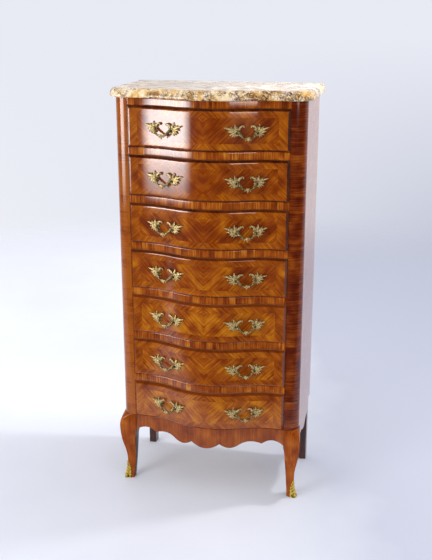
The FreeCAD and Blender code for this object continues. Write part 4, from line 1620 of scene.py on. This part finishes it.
@dataclass(frozen=True)
class Member:
    """One cast member: a leaf or a rod along a curve, in millimetres across, up and out."""

    curve: tuple[Point, ...]
    widths: tuple[float, float, float]
    thickness: float  # half of it for a leaf; in half widths for a rod
    section: Section = Section.LEAF
    lobes: float = 0.0
    mirrored: bool = True
    nick: float = 0.24  # of the half width that is gone between two lobes
    least_half: float = 0.15
    steps: int = 22
    ring_steps: int = 14

    def skin(self) -> Skin:
        """Closed skin of the member.

        The half width follows a parabola through its three given values, nicked by the
        lobes. A rod's ring is an ellipse; a leaf's ring is a flat lens with a groove along
        its middle, which runs along the front.

        Returns:
            The skin, in millimetres.
        """
        t = np.linspace(0, 1, self.steps)
        spine = bezier(self.curve, t)
        way = np.gradient(spine, axis=0)
        way /= np.linalg.norm(way, axis=1, keepdims=True)
        out = np.array([0.0, 0.0, 1.0]) - way * way[:, 2:3]
        out /= np.linalg.norm(out, axis=1, keepdims=True)
        across = np.cross(way, out)
        w0, w1, w2 = self.widths
        half = w0 * (1 - t) * (1 - 2 * t) + 4 * w1 * t * (1 - t) + w2 * t * (2 * t - 1)
        nicked = 1 - self.nick * np.abs(np.sin(self.lobes * math.pi * t))
        half = np.maximum(half * nicked, self.least_half)
        angle = np.linspace(0, 2 * math.pi, self.ring_steps + 1)[:-1]
        side, lift = np.cos(angle), np.sin(angle)
        if self.section is Section.LEAF:
            groove = 1 - 0.55 * np.exp(-(side / 0.28) ** 2)
            lift = np.where(lift > 0, lift * groove, lift * 0.35)
            thick = self.thickness * (0.35 + 0.65 * np.sqrt(half / half.max()))
            gilding = 0.85
        else:
            thick = half * self.thickness
            gilding = 0.45
        # The outer side of each ring counts as crest and its back as hollow: painted highlight in front,
        # painted shade behind.
        crest = 0.15 + gilding * np.clip(lift, 0, 1)
        ring = (spine[:, None] + across[:, None] * (half[:, None] * side)[..., None]
                + out[:, None] * (thick[:, None] * lift)[..., None])
        return Skin.from_rings(ring, crest[None, :])


@dataclass(frozen=True)
class Mount:
    """Crowned, fluted plate from which the leaves of a mount spread, in millimetres."""

    centre: tuple[float, float] = (34.0, 3.0)
    radius: float = 12.0
    crown: float = 6.0
    lobes: int = 7
    slit: tuple[float, float] = (33.0, -3.0)
    slit_half: tuple[float, float] = (2.6, 3.6)
    least_lift: float = 0.4
    mirrored: bool = True

    def skin(self) -> Skin:
        """Closed skin of the plate.

        Its outline is radius * (1 + 0.13 cos(lobes * angle)); its height is the crown times
        the root of 1 - r^2, fluted by the same lobes, with a pit worked as a Gaussian at the
        slit. The rings run from the middle of the front over the rim to the middle behind.

        Returns:
            The skin, in millimetres.
        """
        share = np.concatenate([np.linspace(0.03, 1, 15), [0.97, 0.03]])[:, None]
        angle = np.linspace(0, 2 * math.pi, 57)[None, :-1]
        reach = self.radius * (1 + 0.13 * np.cos(self.lobes * angle))
        x = self.centre[0] + share * reach * np.cos(angle) * 1.08
        y = self.centre[1] + share * reach * np.sin(angle)
        flute = 1 - 0.30 * share * (0.5 - 0.5 * np.cos(self.lobes * angle)) ** 0.7
        lift = 1.0 + self.crown * np.sqrt(np.clip(1 - share ** 2, 0, 1)) * flute
        (slit_x, slit_y), (half_x, half_y) = self.slit, self.slit_half
        pit = np.exp(-((x - slit_x) / half_x) ** 2 - ((y - slit_y) / half_y) ** 2)
        lift = np.maximum(lift * (1 - 1.05 * pit), self.least_lift)
        lift[-2:] = -self.least_lift
        crest = np.clip(1 - pit * 1.2, 0, 1) * ((flute - 0.7) / 0.3 * 0.6 + 0.35)
        return Skin.from_rings(np.stack([x, y, lift], -1), crest)


def bead(centre: Point, radius: float) -> Skin:
    """Small ball as a stack of rings whose radius follows the sine of the polar angle.

    Args:
        centre: its middle.
        radius: its radius.

    Returns:
        Closed skin of the ball.
    """
    polar = np.linspace(0.12, math.pi - 0.12, 8)
    turn = np.linspace(0, 2 * math.pi, 11)[:-1]
    ring = np.stack([np.sin(polar)[:, None] * np.cos(turn), np.sin(polar)[:, None] * np.sin(turn),
                     np.cos(polar)[:, None] + 0 * turn], -1)
    # The outer half of the ball counts as crest, for a painted highlight.
    return Skin.from_rings(np.array(centre) + radius * ring, np.clip(np.cos(polar), 0, 1)[:, None])


@dataclass
class PullSet:
    """Two cast pulls on every drawer; the members are given for the right half of a pull."""

    brass: Material
    middle: float = 120 * MM
    drop: float = 4 * MM
    sharp_deg: float = 60.0
    mount: Mount = Mount()
    members: tuple[Member, ...] = (
        # Leaves that spread outwards from the mount, from the top one down.
        Member(((33, 6, 3.0), (45, 6, 6.5), (57, 15, 6.0), (66, 13.5, 2.2)), (4.6, 4.4, 0.3), 3.0, lobes=4.0),
        Member(((35, 3, 3.0), (45, 1, 6.5), (51, 4, 5.5), (57, 2.0, 2.0)), (4.0, 4.2, 0.3), 2.8, lobes=3.0),
        Member(((35, 1, 3.0), (44, -3, 6.0), (47, -5, 5.0), (51.5, -8, 1.8)), (3.4, 3.6, 0.3), 2.6,
               lobes=3.0),
        Member(((35, 0, 3.0), (40, -5, 5.5), (42, -9, 4.5), (45, -12, 1.6)), (3.0, 3.1, 0.3), 2.4, lobes=2.0),
        Member(((35, -3, 3.0), (37, -7, 5.0), (37, -10, 3.6), (37.5, -15, 1.6)), (3.0, 2.9, 0.3), 2.4),
        # Upright scroll over the mount, and the small leaf beside it.
        Member(((33, 6, 3.0), (35, 12, 6.5), (38, 17, 6.0), (36, 23, 2.6)), (4.0, 2.7, 1.3), 2.8),
        Member(((38, 8, 3.0), (43, 12, 5.0), (47, 14, 4.0), (50, 17, 2.0)), (2.6, 2.6, 0.3), 2.4, lobes=2.0),
        # Scroll that curls in above the grip, and the two rims of the slit.
        Member(((29, 2, 3.0), (27, 14, 7.0), (18, 22, 7.5), (9, 20, 5.5), (11.0, 14.5, 3.6)),
               (4.6, 3.1, 1.4), 2.9),
        Member(((27, 8, 3.0), (25, -4, 6.0), (29, -11, 5.0), (36, -7, 2.5)), (3.4, 2.8, 1.8), 2.8),
        Member(((40, 6, 2.5), (42, 0, 5.5), (39, -4, 4.5), (34, -6, 2.5)), (3.0, 3.0, 1.6), 2.8),
        # Half of the grip, and the leaf that lies along it.
        Member(((29, 7, 3.0), (28, -4, 15.0), (20, -16, 18.0), (9, -15, 15.5), (-1, -18.5, 14.5)),
               (4.2, 3.2, 2.2), 0.95, Section.ROD),
        Member(((26, 2, 9.0), (24, -7, 14.0), (17, -10, 17.0), (15, -15, 15.0)), (2.6, 3.2, 0.4), 2.6,
               lobes=2.0),
        # Pendant leaf in the middle of the grip, and the leaf beside it.
        Member(((0, -13, 14.5), (0, -16, 18.0), (0, -20, 17.0), (0, -26, 12.5)), (3.6, 6.0, 0.7), 2.9,
               lobes=2.0, mirrored=False),
        Member(((2, -15, 14.0), (6, -15, 17.5), (9, -18, 16.0), (9.5, -22, 13.0)), (2.4, 2.9, 0.4), 2.4),
    )
    # Centre and radius of each bead: two scroll ends, the eye of the mount, the top of the pendant.
    beads: tuple[tuple[float, float, float, float], ...] = (
        (11.2, 15.0, 3.8, 2.3), (36.2, 22.0, 3.0, 1.8), (34.0, 4.5, 6.0, 3.2), (0.0, -14.0, 17.0, 2.6))

    def one_pull(self) -> list[Skin]:
        """Members of one pull, both mounts and the grip between them.

        Returns:
            Closed skins in the pull's own millimetres.
        """
        skins = []
        for shape in (self.mount, *self.members):
            skin = shape.skin()
            skins.append(skin)
            if shape.mirrored:
                skins.append(Skin(skin.points * [-1, 1, 1], skin.faces, skin.crest))
        for across, up, out, radius in self.beads:
            # A bead in the middle plane is its own mirror image and comes once.
            skins += [bead((place, up, out), radius) for place in {across, -across}]
        return skins

    def build(self) -> None:
        """Bend the pulls to the bowed faces: across becomes length along the bow, out its offset."""
        skins = self.one_pull()
        for number in DRAWERS:
            low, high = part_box(f"drawer_{number}_front")
            z_pull = (low.z + high.z) / 2 - self.drop
            placed = []
            for side in SIDES.values():
                arc = BOW.arc_of(side * self.middle)
                for skin in skins:
                    across, up, out = skin.points.T * MM
                    xy = BOW.at_arc(arc + across, FRONT_PROJECTION + out)
                    placed.append(Skin(np.column_stack([xy, z_pull + up]), skin.faces, skin.crest))
            thing = join_skins(f"cast_pulls_{number}", placed, self.sharp_deg)
            settle(thing, f"drawer_{number}", "gilt_brass", self.brass, f"drawer_{number}_pulls")


# ---- studio ----


@dataclass(frozen=True)
class StudioFloor:
    """Matt painted studio floor that runs out into the surrounding air.

    The eye gets a level, slightly uneven pale grey, with painted shade towards the right and a
    painted glow just behind the chest and to its left. Gloss sees it dark in front, a painted dark
    reflection.
    """

    name: str = "matt_studio_floor"
    turn: float = 0.232  # radians by which its bright stretch is turned
    cloud: float = 714.286 * MM
    paint: tuple[tuple[float, str], ...] = ((0.0, "C9CDDA"), (0.14, "DFE2EA"), (0.25, "E6E9F0"))
    roughness: float = 0.8
    glow: float = 0.20
    glow_depth: tuple[float, float] = (0.15, 0.60)  # behind the middle of the chest
    glow_width: tuple[float, float] = (0.25, -0.35)  # from its right to its left
    fade: tuple[float, float] = (2.4, 4.2)  # distances between which it runs out
    dark_from: tuple[float, float] = (-0.50, -0.95)  # in front of the chest
    dark_share: float = 0.95

    def build(self) -> Material:
        """Build the material.

        Returns:
            The finished material.
        """
        material, tree = new_material(self.name)
        place = add_node(tree, "TexCoord", out="Object")
        turned = add_node(tree, "VectorRotate", {"Vector": place, "Axis": (0, 0, 1), "Angle": -self.turn})
        axes = add_node(tree, "SeparateXYZ", {0: turned}).node.outputs
        clouds = add_node(tree, "TexNoise", {"Vector": place, "Scale": 1 / self.cloud, "Detail": 4.0})
        # Painted shade: the floor darkens towards the right of the chest.
        shade = add_node(tree, "MapRange", {0: axes["X"], 1: 0.0, 2: 1.1, 3: 0.0, 4: -0.45})
        tone = add_node(tree, "Math", {0: clouds, 1: 0.4, 2: shade}, operation="MULTIPLY_ADD")
        colour = add_node(tree, "ValToRGB", {0: tone}, stops=self.paint)
        paint = add_node(tree, "BsdfPrincipled", {"Base Color": colour, "Roughness": self.roughness,
                                                  "Specular IOR Level": 0.1})
        # Painted light: the floor itself glows behind the chest and to its left.
        first, last = self.glow_depth
        behind = add_node(tree, "MapRange", {0: axes["Y"], 1: first, 2: last}, **SMOOTHLY)
        first, last = self.glow_width
        left = add_node(tree, "MapRange", {0: axes["X"], 1: first, 2: last, 4: self.glow}, **SMOOTHLY)
        lift = add_node(tree, "Math", {0: behind, 1: left}, operation="MULTIPLY")
        glow = add_node(tree, "Emission", {"Color": linear("F6F7FF"), "Strength": lift})
        lit = add_node(tree, "AddShader", {0: paint, 1: glow})
        away = add_node(tree, "VectorMath", {0: place}, out="Value", operation="LENGTH")
        gone = add_node(tree, "MapRange", {0: away, 1: self.fade[0], 2: self.fade[1]}, **SMOOTHLY)
        open_air = add_node(tree, "MixShader", {0: gone, 1: lit, 2: add_node(tree, "BsdfTransparent")})
        # Painted dark reflection: gloss sees the floor in front of the chest as a dim emission.
        glossy = add_node(tree, "LightPath", out="Is Glossy Ray")
        first, last = self.dark_from
        ahead = add_node(tree, "MapRange", {0: axes["Y"], 1: first, 2: last, 4: self.dark_share}, **SMOOTHLY)
        dim = add_node(tree, "Math", {0: ahead, 1: glossy}, operation="MULTIPLY")
        painted_dark_reflection = add_node(tree, "Emission", {"Color": linear("30323A"), "Strength": 0.3})
        seen = add_node(tree, "MixShader", {0: dim, 1: open_air, 2: painted_dark_reflection})
        add_node(tree, "OutputMaterial", {"Surface": seen}, out=None)
        return material


@dataclass(frozen=True)
class AreaLamp:
    """One rectangular lamp, whose sides and foot may fade."""

    name: str
    place: Point
    aim: Point
    width: float
    height: float
    radiance: float
    colour: str = "FFFFFF"
    for_gloss: bool = True
    for_matt: bool = True
    soft_sides: tuple[float, float] = (0.0, 0.0)
    soft_foot: float = 0.0

    def fade(self, tree: Tree) -> None:
        """Let the lamp rise from nothing at its sides and foot over the soft widths.

        Args:
            tree: empty node tree of the lamp.
        """
        at = add_node(tree, "NewGeometry", out="Parametric")
        axes = add_node(tree, "SeparateXYZ", {0: at}).node.outputs
        first, last = (max(soft, MM) / self.width for soft in self.soft_sides)
        start = add_node(tree, "MapRange", {0: axes["X"], 1: 0.0, 2: first})
        end = add_node(tree, "MapRange", {0: axes["X"], 1: 1.0, 2: 1.0 - last})
        side = add_node(tree, "Math", {0: start, 1: end}, operation="MULTIPLY")
        foot = add_node(tree, "MapRange", {0: axes["Y"], 1: 0.0, 2: max(self.soft_foot, MM) / self.height})
        strength = add_node(tree, "Math", {0: side, 1: foot}, operation="MULTIPLY")
        glow = add_node(tree, "Emission", {"Strength": strength})
        add_node(tree, "OutputLight", {"Surface": glow}, out=None)

    def build(self) -> None:
        """Hang the lamp; an area lamp of power P and area A has the radiance P / (pi A)."""
        data = bpy.data.lights.new(self.name, "AREA")
        data.shape, data.size, data.size_y = "RECTANGLE", self.width, self.height
        data.energy = self.radiance * math.pi * self.width * self.height
        data.color = linear(self.colour)[:3]
        if sum(self.soft_sides) + self.soft_foot > 0:
            data.use_nodes = True
            data.node_tree.nodes.clear()
            self.fade(data.node_tree)
        thing = bpy.data.objects.new(self.name, data)
        thing.location = self.place
        thing.rotation_euler = (Vector(self.aim) - Vector(self.place)).to_track_quat("-Z", "Y").to_euler()
        thing.visible_camera = False
        thing.visible_glossy = self.for_gloss
        thing.visible_diffuse = self.for_matt
        bpy.context.scene.collection.objects.link(thing)
        LOG.info("%s hangs at %.2f %.2f %.2f", self.name, *self.place)


@dataclass
class Studio:
    """Floor, lights, air and camera."""

    camera_place: Point = (0.6135, -2.6065, 1.5092)
    camera_tilt: float = 0.2998  # radians down from level
    camera_turn: float = 0.232  # radians to the left
    lens: float = 56.31
    sensor: float = 36.0
    clip: tuple[float, float] = (0.05, 60.0)
    floor_half: float = 6.0
    air_across: Point = (0.973, 0.231, 0.0)  # level axis along which the shown air darkens
    air_across_span: tuple[float, float] = (-0.30, 0.24)
    air_rise_span: tuple[float, float] = (-0.26, -0.03)
    air_tones: tuple[tuple[float, str], ...] = ((0.0, "F0F1F8"), (0.5, "E4E7F0"), (1.0, "C4C8D8"))
    upper_air: str = "E8EAF4"
    lamps: tuple[AreaLamp, ...] = (
        AreaLamp("lamp_on_the_right", (1.06, 0.40, 2.0), (0.0, -0.1, 0.4), width=0.15, height=0.15,
                 radiance=160.0, for_gloss=False),
        AreaLamp("window_on_the_left", (-1.22, -1.18, 0.92), (-0.04, -0.27, 0.92), width=1.10, height=0.62,
                 radiance=17.0, for_matt=False, soft_sides=(0.05, 0.36), soft_foot=0.30),
        AreaLamp("pale_wall_behind", (-0.25, 2.5, 1.56), (-0.25, 0.0, 1.40), width=2.0, height=0.34,
                 radiance=0.9, for_matt=False, soft_sides=(0.9, 0.9)),
        AreaLamp("pale_wall_on_the_right", (1.60, -2.76, 1.30), (0.1, -0.16, 1.30), width=1.05, height=0.7,
                 radiance=8.0, colour="FFE9E2", for_matt=False),
        AreaLamp("soft_fill_on_the_left", (-1.9, -2.6, 1.7), (0.0, 0.0, 0.6), width=1.4, height=1.8,
                 radiance=4.4, for_gloss=False),
    )

    def camera(self) -> None:
        """Place the camera and choose how its colours are shown."""
        data = bpy.data.cameras.new("camera")
        data.lens, data.sensor_width = self.lens, self.sensor
        data.clip_start, data.clip_end = self.clip
        thing = bpy.data.objects.new("camera", data)
        thing.location = self.camera_place
        thing.rotation_euler = (math.pi / 2 - self.camera_tilt, 0.0, self.camera_turn)
        bpy.context.scene.collection.objects.link(thing)
        bpy.context.scene.camera = thing
        bpy.context.scene.view_settings.view_transform = "Standard"
        LOG.info("camera stands at %.2f %.2f %.2f", *self.camera_place)

    def floor(self) -> None:
        """Lay the floor at the level of the feet."""
        half = self.floor_half
        corners = np.array([[-half, -half, 0], [half, -half, 0], [half, half, 0], [-half, half, 0]], float)
        thing = mesh_piece("floor", corners, [[0, 1, 2, 3]])
        thing.data.materials.append(StudioFloor().build())
        LOG.info("floor is %.1f wide", 2 * half)

    def air(self) -> None:
        """Surround the chest with pale light: even for matt surfaces, bright behind for gloss."""
        world = bpy.data.worlds.new("studio_air")
        world.use_nodes = True
        tree = world.node_tree
        tree.nodes.clear()
        way = add_node(tree, "TexCoord", out="Generated")
        axes = add_node(tree, "SeparateXYZ", {0: way}).node.outputs
        across = add_node(tree, "VectorMath", {0: way, 1: self.air_across}, out="Value",
                          operation="DOT_PRODUCT")
        span = add_node(tree, "MapRange", {0: across, 1: self.air_across_span[0], 2: self.air_across_span[1]})
        wall = add_node(tree, "ValToRGB", {0: span}, stops=self.air_tones)
        upper = add_node(tree, "MapRange", {0: axes["Z"], 1: self.air_rise_span[0], 2: self.air_rise_span[1]})
        wall = add_node(tree, "Mix", {0: upper, 6: wall, 7: linear(self.upper_air)}, **IN_COLOUR)
        bright = add_node(tree, "MapRange", {0: axes["Y"], 1: -0.1, 2: 0.7, 3: 0.02, 4: 0.95}, **SMOOTHLY)
        path = add_node(tree, "LightPath").node.outputs
        plain = add_node(tree, "Background", {"Color": wall, "Strength": 1.0})
        matt = add_node(tree, "Background", {"Color": linear("F2F3FA"), "Strength": 1.02})
        shiny = add_node(tree, "Background", {"Color": linear("ECEEF8"), "Strength": bright})
        lit = add_node(tree, "MixShader", {0: path["Is Glossy Ray"], 1: matt, 2: shiny})
        shown = add_node(tree, "MixShader", {0: path["Is Camera Ray"], 1: lit, 2: plain})
        add_node(tree, "OutputWorld", {"Surface": shown}, out=None)
        bpy.context.scene.world = world

    def build(self) -> None:
        """Set up the whole studio."""
        self.camera()
        self.floor()
        self.air()
        for lamp in self.lamps:
            lamp.build()


@dataclass(frozen=True)
class Finishes:
    """All the materials of the chest."""

    rail: Material
    post: Material
    front: Material
    apron: Material
    side: Material
    leg: Material
    rear_leg: Material
    oak_deep: Material
    oak_wide: Material
    poplar: Material
    marble: Material
    brass: Material
    sabot_brass: Material

    @classmethod
    def build(cls) -> "Finishes":
        """Build every material, its borders set by the solids.

        Returns:
            The finished materials.
        """
        low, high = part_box("drawer_1_front")
        panel_low, panel_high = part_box("side_panel_right")
        oak = ("8A683C", "AA8656", "C2A070")
        return cls(
            rail=PolishedVeneer(
                "kingwood_crossbanding", Laying.UPRIGHT, ("622202", "8A3C04", "A8540A", "C88228"),
                band=3.2 * MM, step=0.16).build(),
            post=PolishedVeneer(
                "kingwood_level_banding", Laying.LEVEL, ("420F01", "5E1D02", "7C3404", "9C5210"),
                band=4 * MM, contrast=0.6, block=95 * MM, length=110 * MM, step=0.06, polish=0.65).build(),
            front=QuarteredFront(
                "kingwood_quartered_front", Laying.QUARTERED, ("5C1E00", "7C3201", "964A03", "BC7408"),
                band=4.5 * MM, length=70 * MM, contrast=0.50, half_run=BOW.arc_of(high.x),
                height=high.z - low.z).build(),
            apron=PolishedVeneer(
                "kingwood_apron_banding", Laying.UPRIGHT, ("6A2802", "843A04", "984A08", "B06416"),
                band=2.4 * MM, block=48 * MM, contrast=0.5, step=0.05, shadow=2.2 * MM, polish=0.6).build(),
            side=BorderedSide(
                "kingwood_side", Axis.Z, ("6A2404", "8A3A06", "A04E0A", "B86A1E"),
                band=8 * MM, length=300 * MM, contrast=0.6, inner_face=panel_low.x,
                edges=(PLACES.post_back, panel_high.y, panel_low.z, panel_high.z)).build(),
            leg=PolishedSolid(
                "kingwood_upright_leg", Axis.Z, ("6E2A04", "8E4006", "A0500C", "BC7424"),
                band=5 * MM, length=160 * MM, contrast=0.5, polish=0.3, painted_inner_shade="2E120A").build(),
            rear_leg=PolishedSolid(
                "stained_beech_rear_leg", Axis.Z, ("2A0E06", "3E180A", "522410", "66341A"),
                roughness=0.5, coat=0.2).build(),
            oak_deep=PlanedWood("planed_oak_along_y", Axis.Y, oak).build(),
            oak_wide=PlanedWood("planed_oak_along_x", Axis.X, oak).build(),
            poplar=PlanedWood(
                "planed_poplar_back", Axis.Z, ("7A5A36", "937149", "A88659"),
                band=8 * MM, boards=94 * MM).build(),
            marble=BrecciaMarble().build(),
            brass=GiltBrass().build(),
            sabot_brass=GiltBrass("cast_sabot_brass", ("0A0601", "3C2C04", "8E7014", "DEBE50")).build(),
        )


@dataclass
class HiddenWoods:
    """Finishes of the solids that keep their own mesh."""

    finishes: Finishes

    def finish_of(self, node: str) -> Material | None:
        """Choose the material of a solid that keeps its mesh.

        Args:
            node: name of the solid.

        Returns:
            Its material, or nothing for a solid that is replaced.
        """
        f = self.finishes
        starts = {"side_panel": f.side, "side_apron": f.side, "rear_leg": f.rear_leg, "back_panel": f.poplar,
                  "rear_apron": f.poplar, "top_board": f.oak_wide, "bottom_board": f.oak_wide,
                  "drawer_runners": f.oak_deep}
        ends = {"_sides": f.oak_deep, "_back": f.oak_wide, "_bottom": f.oak_wide}
        found = [material for word, material in starts.items() if node.startswith(word)]
        found += [material for word, material in ends.items() if node.endswith(word)]
        return found[0] if found else None

    def build(self) -> None:
        """Give every solid that stays its material."""
        for node in frame["nodes"]:
            material = self.finish_of(node)
            if material is not None:
                bpy.data.objects[node].material_slots[0].material = material
                LOG.info("%s keeps its solid", node)


def main() -> None:
    """Build every piece in order."""
    logging.basicConfig(level=logging.INFO, format="%(name)s %(message)s")
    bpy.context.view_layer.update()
    finishes = Finishes.build()
    MarbleSlab(finishes.marble).build()
    FrontFrame(finishes.rail, finishes.post).build()
    ScallopedApron(finishes.apron).build()
    DrawerSet(finishes.front, finishes.oak_wide).build()
    FrontLegs(finishes.leg, finishes.sabot_brass).build()
    PullSet(finishes.brass).build()
    HiddenWoods(finishes).build()
    Studio().build()


if __name__ == "__main__":
    main()
